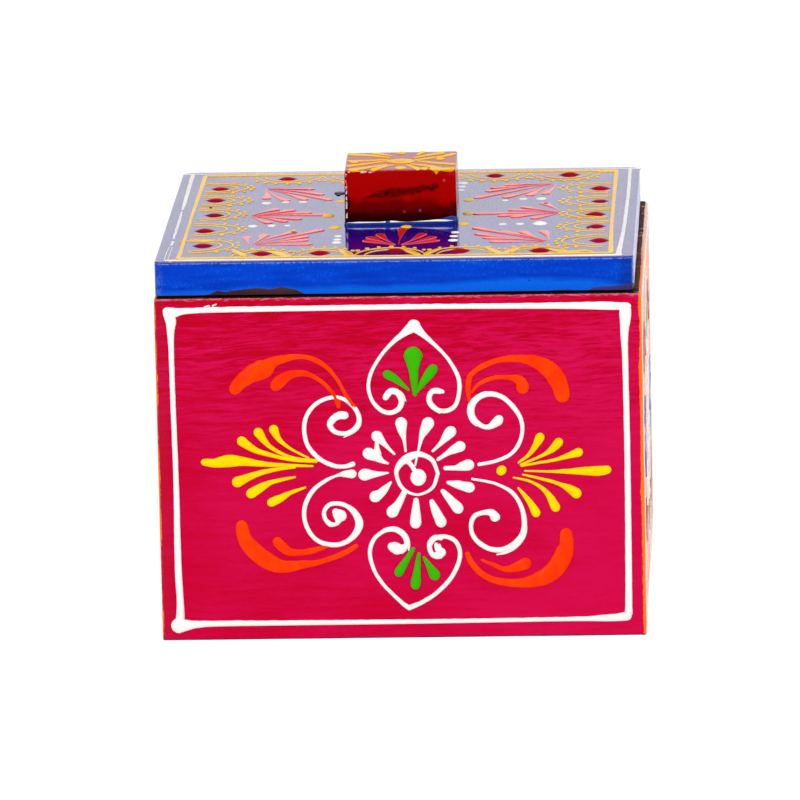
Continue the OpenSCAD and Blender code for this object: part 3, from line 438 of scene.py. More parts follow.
def swept(name, strokes):
    """Round-sectioned strokes along their paths, still flat on their back, in millimetres."""
    curve = bpy.data.curves.new(name, "CURVE")
    curve.dimensions = "3D"
    curve.twist_mode = "Z_UP"
    curve.bevel_depth = 1
    curve.bevel_resolution = 4
    curve.use_fill_caps = True
    for path, closed in strokes:
        spline = curve.splines.new("POLY")
        spline.points.add(len(path) - 1)
        spline.use_cyclic_u = closed
        for point, (x, y, r) in zip(spline.points, path):
            point.co = (x, y, 0, 1)
            point.radius = r
    laid = bpy.data.objects.new(name, curve)
    bpy.context.scene.collection.objects.link(laid)
    bpy.context.view_layer.update()
    mesh = bpy.data.meshes.new_from_object(laid.evaluated_get(bpy.context.evaluated_depsgraph_get()))
    bpy.data.objects.remove(laid)
    return mesh


def placed(mesh, place):
    """A mesh in millimetres, put in its place in metres and shaded smooth."""
    mesh.transform(Matrix.Scale(MM, 4) @ place)
    mesh.polygons.foreach_set("use_smooth", [True] * len(mesh.polygons))
    return mesh


def thick(height):
    """Thick paint: round at the edges, flatter on top where a stroke is wide."""
    return lambda lift: height * tanh(DOME * lift / height)


def drop(lift):
    """A drop of paint that settled into a lens with a thin edge."""
    return DROP_RISE * lift * lift


def film(lift):
    """Paint laid on flat."""
    return FILM_H * tanh(FILM_RISE * lift / FILM_H)


def drawn_in(stroke):
    """A stroke of the lid's pattern, moved to where the pattern ends up."""
    return [(x * WALL_ART_SHARE, LID_ART_FRONT + (y - LID_ART_FRONT) * LID_ART_SHARE, r)
            for x, y, r in stroke]


def paint_mesh(name, place, *layers):
    """One mesh of raised paint. A layer is its strokes and the rule for their height."""
    bm = bmesh.new()
    for strokes, rule in layers:
        for seed, (points, closed) in enumerate(strokes):
            path = unsteady(smooth_stroke(points), seed)
            whole = path[:-1] if closed else round_end(path, 0)[::-1] + path + round_end(path, 1)
            mesh = swept(name, [(whole, closed)])
            full = 1 + STROKE_STEP * (seed % STROKE_STEPS)
            for vertex in mesh.vertices:
                lift = vertex.co.z
                vertex.co.z = rule(lift) * full if lift > .0001 else -SINK
            bm.from_mesh(mesh)
    mesh = bpy.data.meshes.new(name)
    bm.to_mesh(mesh)
    bm.free()
    return placed(mesh, place)


def wall_place(turn, out):
    """From a wall's own plane (across, up, outwards) to the box."""
    share = WALL_ART_SHARE
    return (Matrix.Rotation(radians(turn), 4, "Z") @ Matrix.Translation((0, -out, BOX_H * (1 - share)))
            @ Matrix.Rotation(radians(90), 4, "X") @ Matrix.Diagonal((share, share, 1, 1)))


def knob_place(height):
    """From a level plane round the knob's middle to its place and turn on the lid."""
    return Matrix.Translation((KNOB_MID.x, KNOB_MID.y, height)) @ Matrix.Rotation(radians(KNOB_TURN), 4, "Z")


def dot(x, y, r):
    """A round blob of paint."""
    return [(x, y, r), (x, y + .02, r)]


def lens(x, y, r):
    """A drop drawn out along X."""
    return [(x + LENS_LONG * r * sin(a), y, r * cos(a)) for a in map(radians, LENS_TURNS)]


def flower_ring():
    """The ring round the flower's eye, thick where it was begun."""
    x, y = FLOWER
    first_turn, first_w = FLOWER_RING[0]
    ring = []
    for turn, half_w in FLOWER_RING + [(first_turn + 360, first_w)]:
        out = FLOWER_R - half_w
        ring.append((x + out * cos(radians(turn)), y + out * sin(radians(turn)), half_w))
    return ring


def open_strokes(*groups):
    """The strokes of several tables, each marked as one with two ends."""
    return [(stroke, False) for group in groups for stroke in group]


# ---------------------------------------------------------------------------------------------
# Shader helpers


def paint(red, green, blue):
    """A display colour, 0 to 255, as the shader's linear colour."""
    def linear(level):
        level /= 255
        return level / 12.92 if level <= .04045 else ((level + .055) / 1.055) ** 2.4
    return (linear(red), linear(green), linear(blue), 1)


class Value:
    """One output socket of a finish, with arithmetic."""

    def __init__(self, finish, socket):
        self.finish = finish
        self.socket = socket

    def math(self, operation, *others, clamp=False):
        return self.finish.node("ShaderNodeMath", {"operation": operation, "use_clamp": clamp},
                                dict(enumerate((self, *others))))

    def __add__(self, other):
        return self.math("ADD", other)

    def __sub__(self, other):
        return self.math("SUBTRACT", other)

    def __rsub__(self, other):
        return self.math("MULTIPLY_ADD", -1, other)

    def __mul__(self, other):
        return self.math("MULTIPLY", other)

    def __truediv__(self, other):
        return self.math("DIVIDE", other)

    def __abs__(self):
        return self.math("ABSOLUTE")

    __radd__ = __add__
    __rmul__ = __mul__

    def either(self, other):
        """The larger of two masks."""
        return self.math("MAXIMUM", other)

    def above(self, level, blur=.1):
        """1 where the value is above a level, 0 below, with a soft step between."""
        return ((self - level) / blur).math("ADD", .5, clamp=True)

    def below(self, level, blur=.1):
        """1 where the value is below a level, 0 above."""
        return 1 - self.above(level, blur)

    def profile(self, points):
        """A height that follows the value along a line through (value, height) points."""
        starts, tops = zip(*points)
        first, last = starts[0], starts[-1]
        low, high = min(tops), max(tops)
        share = self.finish.node("ShaderNodeMapRange", {"clamp": True},
                                 {0: self, 1: first, 2: last, 3: 0, 4: 1})
        greys = [((at - first) / (last - first), (top - low) / (high - low)) for at, top in points]
        line = self.finish.node("ShaderNodeValToRGB", {"stops": [(at, (g, g, g, 1)) for at, g in greys]},
                                {0: share})
        return line * (high - low) + low


class Finish:
    """A material of the object, or the world, made from nodes."""

    def __init__(self, name, shelf="materials"):
        self.owner = getattr(bpy.data, shelf).new(name)
        self.owner.use_nodes = True
        self.tree = self.owner.node_tree
        self.tree.nodes.clear()
        self.place = None

    def node(self, kind, settings=None, inputs=None, output=0):
        """One node: its settings first, then the values or links of its sockets."""
        made = self.tree.nodes.new(kind)
        for key, value in (settings or {}).items():
            if key == "stops":
                elements = made.color_ramp.elements
                while len(elements) < len(value):
                    elements.new(.5)
                for element, (at, colour) in zip(elements, value):
                    element.position = at
                    element.color = colour
            else:
                setattr(made, key, value)
        for key, value in (inputs or {}).items():
            if isinstance(value, Value):
                self.tree.links.new(value.socket, made.inputs[key])
            else:
                made.inputs[key].default_value = value
        return Value(self, made.outputs[output]) if made.outputs else None

    def measure(self):
        """Object coordinates, in millimetres."""
        metres = self.node("ShaderNodeTexCoord", output=3)
        self.place = self.node("ShaderNodeVectorMath", {"operation": "SCALE"}, {0: metres, 3: 1000})
        split = self.node("ShaderNodeSeparateXYZ", inputs={0: self.place})
        return [Value(self, socket) for socket in split.socket.node.outputs]

    def noise(self, pitch, detail=2, roughness=.5, shift=0, rise=None):
        """Noise from 0 to 1 about .5 whose blots are pitch millimetres long; rise bends them upwards."""
        place = self.place
        if rise:
            bend = self.node("ShaderNodeCombineXYZ", inputs={2: rise})
            place = self.node("ShaderNodeVectorMath", {"operation": "ADD"}, {0: place, 1: bend})
        scaled = self.node("ShaderNodeMapping", {"vector_type": "POINT"},
                           {0: place, 1: (shift, shift * .7, shift * .4), 3: tuple(1 / p for p in pitch)})
        return self.node("ShaderNodeTexNoise", {"noise_dimensions": "3D"},
                         {"Vector": scaled, "Scale": 1, "Detail": detail, "Roughness": roughness})

    def mix(self, share, a, b):
        """Colour a, and a share of colour b over it."""
        return self.node("ShaderNodeMix", {"data_type": "RGBA"}, {0: share, 6: a, 7: b}, output=2)

    def bump(self, height, strength):
        """A normal from a height in millimetres."""
        return self.node("ShaderNodeBump", inputs={"Strength": strength, "Distance": MM, "Height": height})

    def surface(self, **sockets):
        """The finish's shader; a socket is named with underscores for spaces."""
        inputs = {key.replace("_", " "): value for key, value in sockets.items()}
        shader = self.node("ShaderNodeBsdfPrincipled", inputs=inputs)
        self.node("ShaderNodeOutputMaterial", inputs={0: shader})
        return self.owner

    def looks(self):
        """Masks of what the camera sees, what a mirror sees and what is seen through clear pieces."""
        return [self.node("ShaderNodeLightPath", output=name)
                for name in ("Is Camera Ray", "Is Glossy Ray", "Is Transmission Ray")]


# ---------------------------------------------------------------------------------------------
# Colours

CRIMSON_DEEP = paint(194, 0, 36)
CRIMSON = paint(206, 0, 68)
CRIMSON_PALE = paint(214, 18, 82)
CRIMSON_LINE = paint(176, 0, 34)        # the troughs between brush marks
MAGENTA = paint(214, 30, 120)
RIM_HIGHLIGHT_PINK = paint(236, 120, 150)         # painted highlight along the top edge of the crimson walls
ORANGE = paint(255, 138, 0)
ORANGE_DEEP = paint(244, 112, 0)
CREAM = paint(236, 214, 200)            # along the top of the sides, more of it towards the back
STAIN = paint(88, 56, 56)
STAIN_DARK = paint(48, 28, 30)
# painted shadow: the rim darkened under the lid at the front and the back
RIM_SHADOW = paint(18, 8, 10)
RIM_BROWN = paint(84, 48, 46)

BLUE = paint(0, 69, 209)
BLUE_DEEP = paint(0, 54, 184)
BLUE_PALE = paint(8, 104, 232)
BLUE_RUBBED = paint(92, 132, 190)
BLUE_DULL = paint(8, 34, 104)
BLUE_FLECK = paint(10, 26, 90)
LIP_HIGHLIGHT_BLUE = paint(150, 180, 236)         # painted highlight: pale dashes under the lid's top edge
END_SHEEN_WHITE = paint(234, 234, 248)        # painted reflection: the lid's right end painted pale
LID_TOP_BLUE = paint(26, 0, 140)
SMEAR_BROWN = paint(150, 90, 60)
BEAD_BLUE = paint(0, 34, 112)
BEAD_PALE = paint(0, 52, 152)
# painted highlight on the bead
BEAD_HIGHLIGHT_WHITE = paint(250, 250, 252)

# The knob's reds: the darker two also stand for painted shade low on its front
RED_BRIGHT = paint(176, 0, 0)
RED_MID = paint(120, 0, 0)
RED_DARK = paint(46, 0, 0)
CORNER_RED = paint(196, 8, 44)
KNOB_TOP_RED = paint(188, 10, 62)
KNOB_TOP_DEEP = paint(140, 0, 46)
EDGE_HIGHLIGHT_PINK = paint(250, 226, 228)        # painted highlights along the knob's edges
DRIP_GOLD = paint(255, 186, 0)
SPECK_BLUE = paint(76, 86, 150)
SPECK_RED = paint(214, 60, 60)
SPECK_BROWN = paint(110, 50, 30)

STEEL_DARK = paint(120, 122, 126)
STEEL_BRIGHT = paint(178, 180, 184)

# Paint from the cone: where it lies thick, and where it lies thin
CONE_COLOURS = {
    "white": (paint(253, 252, 248), paint(247, 244, 240)),
    "yellow": (paint(255, 230, 0), paint(252, 206, 0)),
    "orange": (paint(255, 46, 0), paint(254, 72, 0)),
    "green": (paint(54, 190, 0), paint(66, 172, 0)),
    "blue": (paint(10, 84, 214), paint(0, 66, 190)),
    "crimson": (paint(206, 6, 56), paint(186, 2, 44)),
    "lid_white": (paint(253, 252, 248), paint(246, 240, 236)),
    "lid_yellow": (paint(255, 208, 30), paint(255, 194, 14)),
    "ruby": (paint(180, 4, 30), paint(150, 0, 20)),
    "red": (paint(255, 44, 14), paint(246, 36, 12)),
    "gold": (paint(255, 206, 24), paint(255, 186, 14)),
    "dark": (paint(30, 30, 62), paint(24, 18, 34)),
}

# The colours of a wall's ornament: its lines, plumes, swooshes and leaves
FRONT_COLOURS = ("white", "yellow", "orange", "green")
SIDE_COLOURS = ("white", "blue", "crimson", "green")

# ---------------------------------------------------------------------------------------------
# Marks in the finishes, in millimetres: X to the right, Y to the back, Z up

STREAKS_FROM = 34                       # above this height the front's brush marks show more and more,
STREAKS_RUN = 30                        # until this much higher
TOP_SHADE_FROM = 58                          # painted shade: above this the crimson is a little deeper
GLINT_LOW = 62                          # magenta glints lie above this
GLINT_RIGHT = -28                       # and left of this
MARGIN_RIGHT = -48.6                    # the worn margin at the front's left edge ends here
SIDE_GLAZE = .25                        # how much clear glaze lies on the orange sides
SIDE_PAINT_GLAZE = .4                   # and on the strokes there
LID_GLAZE_TOP = LID_TOP + .15           # the lid's raised paint stands out of its glaze above this

# The lower edge of the paler band along the lid's front, as (X, Z)
LID_BAND = [(-52, 74.4), (-30, 75.2), (-5, 75), (10, 75.6), (26, 76.4), (40, 76), (52, 74.6)]
# The upper edge of the bare wood at the lid's front left, and of that at its front right
LID_BARE_LEFT = [(-42, 73.3), (-39, 73.9), (-37.5, 74.6), (-36, 74.3), (-32, 74.85), (-29, 75.1),
                 (-26.5, 74.8), (-24, 75.2), (-21, 74.6), (-18.5, 73.3)]
LID_BARE_RIGHT = [(30, 73.3), (33, 73.8), (36, 73.9), (37.5, 73.3), (39, 73.4), (41, 74.2), (45, 74.6),
                  (49.4, 75)]
OTHER_BARE_TOP = 73.9                   # and at the lid's other sides
LID_RUBBED_LEFT = -49.2                 # the lid's front is rubbed left of this
LID_RUBBED_RIGHT = 48.8                 # and right of this,
LID_DULL_FROM = 46.4                    # and dull from here on
SMEAR_FROM = 41                         # the brown smear lies behind this line across the lid,
SMEAR_HALF_W = 43                       # this far to either side

# The dark streak across the knob's front: its middle line as (X, Z), and its half width
KNOB_STREAK = [(-8, 86.6), (-6, 87.1), (-3.5, 87.6), (-.3, 87.9), (2.6, 88), (4.5, 88.6), (6, 88.5),
               (7.3, 89)]
KNOB_STREAK_HALF_W = [(-8, .1), (-6, .45), (-3, .75), (1, .6), (3.6, .7), (5, .35), (6.8, .75), (7.8, .1)]
KNOB_STREAK_SPREAD = 1.25
# How far down the gold ran from the knob's top, as (X, Z)
GOLD_RUN = [(-10.6, 92.6), (-10, 92.35), (-8.6, 92.35), (-7.8, 92.6), (6.2, 92.6), (6.8, 92.1), (7.2, 91.5),
            (7.6, 92.1), (8.2, 92.3), (9, 92.1), (10.4, 92.05), (10.9, 92.3), (11.2, 92.6)]
KNOB_SHADE_BELOW = 83.9                  # painted shade: the knob's front is painted darker below this,
KNOB_LIT_FROM = 86.3                 # and in its full lit red from here
# Specks on the knob's front: X, Z, half size and colour
KNOB_SPECKS = [(3.6, 83.8, .22, SPECK_BLUE), (8.8, 90.2, .26, SPECK_RED), (.3, 83.6, .3, SPECK_BROWN)]
# A painted highlight, a white line along the bead: its height above the lid as (X, Z), and its half width
BEAD_HIGHLIGHT_LINE = [(-12, .62), (-6, .7), (0, .78), (6, .84), (10.6, .78)]
BEAD_HIGHLIGHT_HALF_W = [(-11.6, .04), (-10, .14), (0, .2), (9, .19), (10.4, .04)]
BEAD_HIGHLIGHT_GAP = -3.3                         # the line is broken here

# ---------------------------------------------------------------------------------------------
# Finishes


def stained(f):
    """Colour and height of dark-stained wood with its grain along X."""
    grain = f.noise((24, 1.3, 1.3), detail=5, roughness=.65)
    blot = f.noise((9, 9, 9), detail=2, shift=3)
    share = (grain * .7 + blot * .3).above(.5, .35)
    return f.mix(share, STAIN_DARK, STAIN), grain


def brushed_crimson(f, x, z, wave, hair, brush, fine, slow):
    """Crimson laid on from side to side, with the marks of the brush, painted shade towards the top and
    painted glints.
    """
    busy = (z - STREAKS_FROM).math("DIVIDE", STREAKS_RUN, clamp=True)
    # Painted shade: the crimson is painted a little deeper towards the top
    top_shade = (z - TOP_SHADE_FROM).math("MULTIPLY", .01, clamp=True)
    streaks = (brush - .5) * (busy * .9 + .4) + (hair - .5) * busy * 1.5
    share = streaks + .5 - top_shade + (wave - .5) * .5 + x * .0018
    coat = f.mix(share.above(.4, .4), CRIMSON_DEEP, CRIMSON)
    coat = f.mix((share + (fine - .5) * .4).above(.62, .5) * .8, coat, CRIMSON_PALE)
    trough = hair.below(.44, .1) * (busy * 1.3 - .2) * slow.above(.42, .3) * .55
    coat = f.mix(trough, coat, CRIMSON_LINE)
    dent = f.noise((2.6, 2.6, .6), detail=3, shift=50, rise=(wave - .5) * 4).above(.65, .06)
    coat = f.mix(dent * busy * slow.above(.45, .2) * .6, coat, CRIMSON_LINE)
    streaky = (hair + (slow - .5) * .6).above(.72, .08)
    glint = streaky * (z - GLINT_LOW).above(0, 8) * (x - GLINT_RIGHT).below(0, 8) * .5
    return f.mix(glint, coat, MAGENTA)


def wall_finish(name, painted_front):
    """The boards of the box: painted faces, orange at the sides, stained where nobody painted."""
    f = Finish(name)
    x, y, z = f.measure()
    wood, grain = stained(f)
    wave = f.noise((22, 22, 14), detail=2, shift=5)
    hair = f.noise((4.5, 4.5, .42), detail=5, roughness=.6, shift=11, rise=(wave - .5) * 4 - x * .05)
    brush = f.noise((13, 13, 1.2), detail=4, roughness=.6, shift=14, rise=(wave - .5) * 4)
    fine = f.noise((1.6, 1.6, .35), detail=2, shift=8)
    ragged = f.noise((1.6, 1.6, 1.6), detail=3, roughness=.7, shift=2)
    slow = f.noise((9, 9, 9), detail=1, shift=17)

    orange = f.mix((brush * .7 + slow * .3).above(.5, .4), ORANGE_DEEP, ORANGE)
    colour = orange
    if painted_front:
        crimson = brushed_crimson(f, x, z, wave, hair, brush, fine, slow)
        wear_and_shade = (brush + ragged - .5).above(.3, .5)
        margin = (x - MARGIN_RIGHT + (ragged - .5) * 1.2).below(0, .8) * wear_and_shade * .12
        crimson = f.mix(margin, crimson, RIM_BROWN)
        wrap = HALF_W - .45 - x.above(0, 1) * .3 + (slow - .5) * .9 + (ragged - .5) * .7
        colour = f.mix((abs(x) - wrap).above(.1, .1), crimson, orange)
        # Painted highlight: pale pink dashes along the top edge of the face
        rim_highlight = (z + (ragged - .5) * 1.1 - BOX_H).above(-.55, .1) * fine.above(.55, .1) * .45
        colour = f.mix(rim_highlight, colour, RIM_HIGHLIGHT_PINK)

    lap = HALF_W - .55 + (ragged - .5) * .3 + (slow - .5) * .5
    at_side = (abs(x) - lap).above(0, .1)
    outer = abs(x).above(HALF_W - 1.6, .1).either(abs(y).above(HALF_D - 1.6, .1))
    rim = (z + (ragged - .5) * .4).above(BOX_H - .12, .08) * (1 - at_side)
    foot = (z + (ragged - .5) * .7).below(.3, .12)
    unpainted = (1 - outer).either(rim).either(foot)
    colour = f.mix(unpainted, colour, wood)
    colour = f.mix(rim, colour, RIM_BROWN)
    colour = f.mix(z.above(BOX_H - .2, .1) * at_side * y.above(0, 40) * .8, colour, CREAM)
    # Painted shadow: the rim is darkened near the front and the back, under the lid
    shadowed_rim_ends = y.below(6 - HALF_D, 4).either(y.above(HALF_D - 2.5, 2))
    colour = f.mix(rim * shadowed_rim_ends * .8, colour, RIM_SHADOW)
    height = hair * .03 + brush * .04 + fine * .01 + grain * unpainted * .05
    glazed_rim = z.above(BOX_H - .4, .2) * (1 - at_side)
    glazed = glazed_rim.either(at_side * z.below(BOX_H - .3, .2) * SIDE_GLAZE)
    return f.surface(Base_Color=colour, Roughness=.28 + unpainted * .35 + (slow - .5) * .1,
                     Specular_IOR_Level=.03, Coat_Weight=glazed * (1 - unpainted), Coat_Roughness=.12,
                     Normal=f.bump(height, .8))


def lid_finish():
    """The blue lid: glossy on top, brushed thinner round the edge, with bare wood along the bottom."""
    f = Finish("blue_lid_paint")
    x, y, z = f.measure()
    wood, grain = stained(f)
    brush = f.noise((14, 14, 1.6), detail=4, roughness=.6, shift=4)
    cloth = f.noise((.5, 7, 2), detail=3, shift=9)
    speckle = f.noise((.35, 4, 1), detail=3, roughness=.7, shift=12)
    weave = f.noise((.45, .45, .8), detail=3, roughness=.75, shift=31)
    slow = f.noise((12, 12, 3), detail=2, shift=6)
    ragged = f.noise((1.5, 1.5, .6), detail=3, roughness=.7, shift=1)
    fleck = f.noise((.8, .8, .8), detail=1, shift=21)
    top = z.above(LID_TOP - .3, .25)
    front = y.below(LID_LOW.y + 2, .5)

    # Round the edge: brush marks, a paler band, wear towards both ends, a painted reflection and highlight
    blue = f.mix((brush * .6 + slow * .3 + weave * .3).above(.6, .22), BLUE_DEEP, BLUE)
    pale = (x.profile(LID_BAND) - z + (slow - .5) * 2.2 + (ragged - .5) * .5).above(0, 1.1) * .8
    scratch = (brush * .45 + weave * .55).above(.58, .06) * .55
    blue = f.mix((pale * (.5 + weave)).either(scratch) * (1 - top), blue, BLUE_PALE)
    # Painted reflection: the lid's right end is painted pale
    end_sheen = (x - LID_HIGH.x + .3).above(0, .3) * (weave * .6 + brush * .5).above(.42, .2) * (1 - top)
    blue = f.mix(end_sheen * .8, blue, END_SHEEN_WHITE)
    at_ends = (x - LID_RUBBED_LEFT).below(0, 1.4).either(x.above(LID_RUBBED_RIGHT, .6))
    rubbed = at_ends * front * (weave * .7 + brush * .5).above(.6, .2)
    blue = f.mix(rubbed * .4, blue, BLUE_RUBBED)
    dull = x.above(LID_DULL_FROM, 1.6) * front * (weave + ragged - .5).above(.4, .5) * .6
    blue = f.mix(dull, blue, BLUE_DULL)
    # Painted highlight: pale dashes just under the lid's top edge
    lip_highlight = (z - LID_TOP + .55 + (ragged - .5) * .5).above(0, .15) * (1 - top) * weave.above(.46, .12) * .5
    blue = f.mix(lip_highlight, blue, LIP_HIGHLIGHT_BLUE)
    blue = f.mix(top, blue, LID_TOP_BLUE)
    blue = f.mix(fleck.above(.78, .03) * .7, blue, BLUE_FLECK)

    # Bare wood along the bottom, and the smear at the back of the top
    bare_left = (x.profile(LID_BARE_LEFT) - z + (ragged - .5) * .3).above(0, .12)
    bare_left *= x.above(LID_BARE_LEFT[0][0], .4) * x.below(LID_BARE_LEFT[-1][0], .4)
    bare_right = (x.profile(LID_BARE_RIGHT) - z + (ragged - .5) * .5).above(0, .3)
    bare_right *= x.above(LID_BARE_RIGHT[0][0], .4)
    bare_front = (bare_left + bare_right * .8) * front
    bare_round = (OTHER_BARE_TOP + (slow - .5) * 3.4 + (ragged - .5) * .5 - z).above(0, .2) * (1 - front)
    under = z.below(LID_LOW.z + .18, .12)
    bare = bare_front.math("MINIMUM", 1).either(bare_round).either(under)
    smear = top * (y + (slow - .5) * 6).above(SMEAR_FROM, 7) * abs(x).below(SMEAR_HALF_W, 3)
    smear *= .35 + ragged * .5
    colour = f.mix(smear, f.mix(bare, blue, wood), SMEAR_BROWN)
    height = (brush * .04 + weave * .02) * (1 - top) + cloth * .012 * top + slow * .06 + grain * bare * .05
    left_end = (x - LID_LOW.x).below(.25, .15)
    glazed_top = top * (.9 + (speckle - .5) * .45) * y.below(LID_HIGH.y - .4, .1)
    return f.surface(Base_Color=colour, Roughness=.16 + .2 * (1 - top) + bare * .3,
                     Specular_IOR_Level=.035, Coat_Weight=glazed_top.either(left_end), Coat_Roughness=.05,
                     Normal=f.bump(height, .7))


def knob_finish():
    """The red knob: a glaze over a darker coat that shows in one streak, and painted shade low on its front.
    """
    f = Finish("dark_red_knob_paint")
    x, y, z = f.measure()
    brush = f.noise((4, 4, .7), detail=4, roughness=.6, shift=7)
    ragged = f.noise((1.1, 1.1, .8), detail=4, roughness=.75, shift=2)
    slow = f.noise((4, 4, 2.4), detail=3, shift=13)
    dashes = f.noise((.8, .8, .7), detail=2, shift=3)
    top = z.above(KNOB_TOP - .2, .15)
    front = y.below(KNOB_LOW.y + 2, .5)

    # Painted shade: the front is painted darker towards the knob's foot
    wear_and_shade = z + (ragged - .5) * 1.6 + (slow - .5) * 3.2
    glaze = f.mix(wear_and_shade.above(KNOB_SHADE_BELOW, 3), RED_DARK, RED_MID)
    glaze = f.mix((wear_and_shade + x.above(7, 2.5)).above(KNOB_LIT_FROM, 1.6), glaze, RED_BRIGHT)
    from_line = abs(z - x.profile(KNOB_STREAK) + (ragged - .5) * 1.5)
    off = from_line - x.profile(KNOB_STREAK_HALF_W) * KNOB_STREAK_SPREAD
    streak = off.below(0, .7) * x.above(-8.2, .5) * x.below(7.8, .5) * front * (dashes * 1.2 + .15)
    glaze = f.mix(streak.math("MINIMUM", .95), glaze, RED_DARK)
    left_edge = (x + abs(z - 85.6) * .35).below(-11, .35) * front
    glaze = f.mix(left_edge * .85, glaze, RED_DARK)
    for speck_x, speck_z, half, speck in KNOB_SPECKS:
        away = abs(x - speck_x).either(abs(z - speck_z))
        glaze = f.mix(away.below(half, .16) * front, glaze, speck)
    right_corner = (x - 9.6 + (ragged - .5)).above(0, .8) * (z - 91.2).above(0, .6) * front
    glaze = f.mix(right_corner * .8, glaze, CORNER_RED)

    top_red = f.mix((brush + slow * .5).above(.75, .4), KNOB_TOP_DEEP, KNOB_TOP_RED)
    colour = f.mix(top, glaze, top_red)
    drip = (z - x.profile(GOLD_RUN) + (ragged - .5) * .35).above(0, .12) * front
    colour = f.mix(drip * z.below(KNOB_TOP - .1, .1), colour, DRIP_GOLD)
    # Painted highlights: pale dashes along the knob's left edge and the left of its top edge
    edges = abs(x + 11.95).below(.16, .1).either((z - KNOB_TOP + .55).above(0, .14) * x.below(-6.4, 1))
    edge_highlights = edges * dashes.above(.53, .06) * front * (1 - top)
    colour = f.mix(edge_highlights * .85, colour, EDGE_HIGHLIGHT_PINK)
    return f.surface(Base_Color=colour, Roughness=.14 + top * .08, Specular_IOR_Level=.02,
                     Coat_Weight=top * .55, Coat_Roughness=.06, Normal=f.bump(brush * .04 + slow * .1, .7))


def cone_paint(name, kind, specular=.05, glaze=0, bare_above=None):
    """Raised paint from a cone, a little uneven in colour; its glaze stays off what stands higher."""
    f = Finish(name)
    x, y, z = f.measure()
    thick_paint, thin_paint = CONE_COLOURS[kind]
    if bare_above:
        glaze = z.below(bare_above, .02) * glaze
    cloud = f.noise((5, 5, 5), detail=2, shift=3)
    skin = f.noise((1.2, 1.2, 1.2), detail=2, shift=6)
    colour = f.mix((cloud * .7 + skin * .3).above(.5, .35), thin_paint, thick_paint)
    return f.surface(Base_Color=colour, Roughness=.3 + (cloud - .5) * .1, Specular_IOR_Level=specular,
                     Coat_Weight=glaze, Coat_Roughness=.08, Normal=f.bump(skin * .04, .5))


def bead_finish():
    """The line of lid paint that laps up the knob, with a painted highlight along it."""
    f = Finish("blue_bead_paint")
    x, y, z = f.measure()
    slow = f.noise((3, 3, 1), detail=2, shift=5)
    colour = f.mix(slow.above(.5, .4), BEAD_BLUE, BEAD_PALE)
    # Painted highlight: a white line along the bead's front
    line = LID_TOP + x.profile(BEAD_HIGHLIGHT_LINE)
    off = abs(z - line) - x.profile(BEAD_HIGHLIGHT_HALF_W)
    whole = abs(x - BEAD_HIGHLIGHT_GAP).above(.5, .2) * abs(x + .6).below(11.2, .2)
    colour = f.mix(off.below(0, .06) * whole * y.below(KNOB_LOW.y + 1, .2), colour, BEAD_HIGHLIGHT_WHITE)
    return f.surface(Base_Color=colour, Roughness=.12, Specular_IOR_Level=.1, Coat_Weight=.4,
                     Coat_Roughness=.03, Normal=f.bump(slow * .04, .5))


def wood_finish(name):
    """Dark-stained wood for the boards inside."""
    f = Finish(name)
    f.measure()
    colour, grain = stained(f)
    return f.surface(Base_Color=colour, Roughness=.45 + grain * .3, Specular_IOR_Level=.3,
                     Normal=f.bump(grain * .03, .6))


def steel_finish(name):
    """Bright drawn steel, a little scratched."""
    f = Finish(name)
    f.measure()
    scratch = f.noise((.4, .4, 3), detail=3, shift=4)
    colour = f.mix(scratch, STEEL_DARK, STEEL_BRIGHT)
    return f.surface(Base_Color=colour, Metallic=1.0, Roughness=.25 + scratch * .2,
                     Normal=f.bump(scratch * .01, .5))


# ---------------------------------------------------------------------------------------------
# Wooden pieces

SMOOTH_BELOW = radians(38)              # edges bent less than this are shaded round
SQUARE = radians(80)                    # and edges bent more are still unsoftened


def planed(bm, low, high, seed, step, margin, sink, hollow):
    """Faces cut into a net that ends near the edges, then sunk a little here and there."""
    for axis in range(3):
        first, last = low[axis] + margin, high[axis] - margin
        if last - first < margin:
            continue
        count = max(1, round((last - first) / step))
        for k in range(count + 1):
            at, across = Vector((0, 0, 0)), Vector((0, 0, 0))
            at[axis] = first + (last - first) * k / count
            across[axis] = 1
            bmesh.ops.bisect_plane(bm, geom=bm.verts[:] + bm.edges[:] + bm.faces[:], plane_co=at,
                                   plane_no=across)
    bm.normal_update()
    moves = []
    for vertex in bm.verts:
        blot = noise.noise(Vector(vertex.co) / hollow + Vector((seed, seed, seed)))
        moves.append(vertex.normal * -sink * (.5 + .5 * blot))
    for vertex, move in zip(bm.verts, moves):
        vertex.co += move


def finish_mesh(bm, name):
    """The bmesh, in millimetres, as a mesh in metres with sharp corners kept."""
    bmesh.ops.recalc_face_normals(bm, faces=bm.faces[:])
    for edge in bm.edges:
        edge.smooth = edge.calc_face_angle(0) < SMOOTH_BELOW
    for face in bm.faces:
        face.smooth = True
    mesh = bpy.data.meshes.new(name)
    bm.to_mesh(mesh)
    bm.free()
    mesh.transform(Matrix.Scale(MM, 4))
    return mesh


def block(low, high):
    """A bmesh block between two corners."""
    bm = bmesh.new()
    size = high - low
    bmesh.ops.create_cube(bm, size=1, matrix=Matrix.Translation((low + high) / 2)
                          @ Matrix.Diagonal((*size, 1)))
    return bm


def soften(bm, edges, radius, segments=4):
    """Rounds the edges."""
    bmesh.ops.bevel(bm, geom=edges, offset=radius, offset_type="OFFSET", segments=segments, profile=.5,
                    affect="EDGES", material=-1)


def upright(edge):
    """Whether the edge stands straight up."""
    a, b = (v.co for v in edge.verts)
    return abs(a.x - b.x) < .01 and abs(a.y - b.y) < .01


def level(edge):
    """Whether both ends of the edge are equally high."""
    return len({round(v.co.z, 3) for v in edge.verts}) == 1


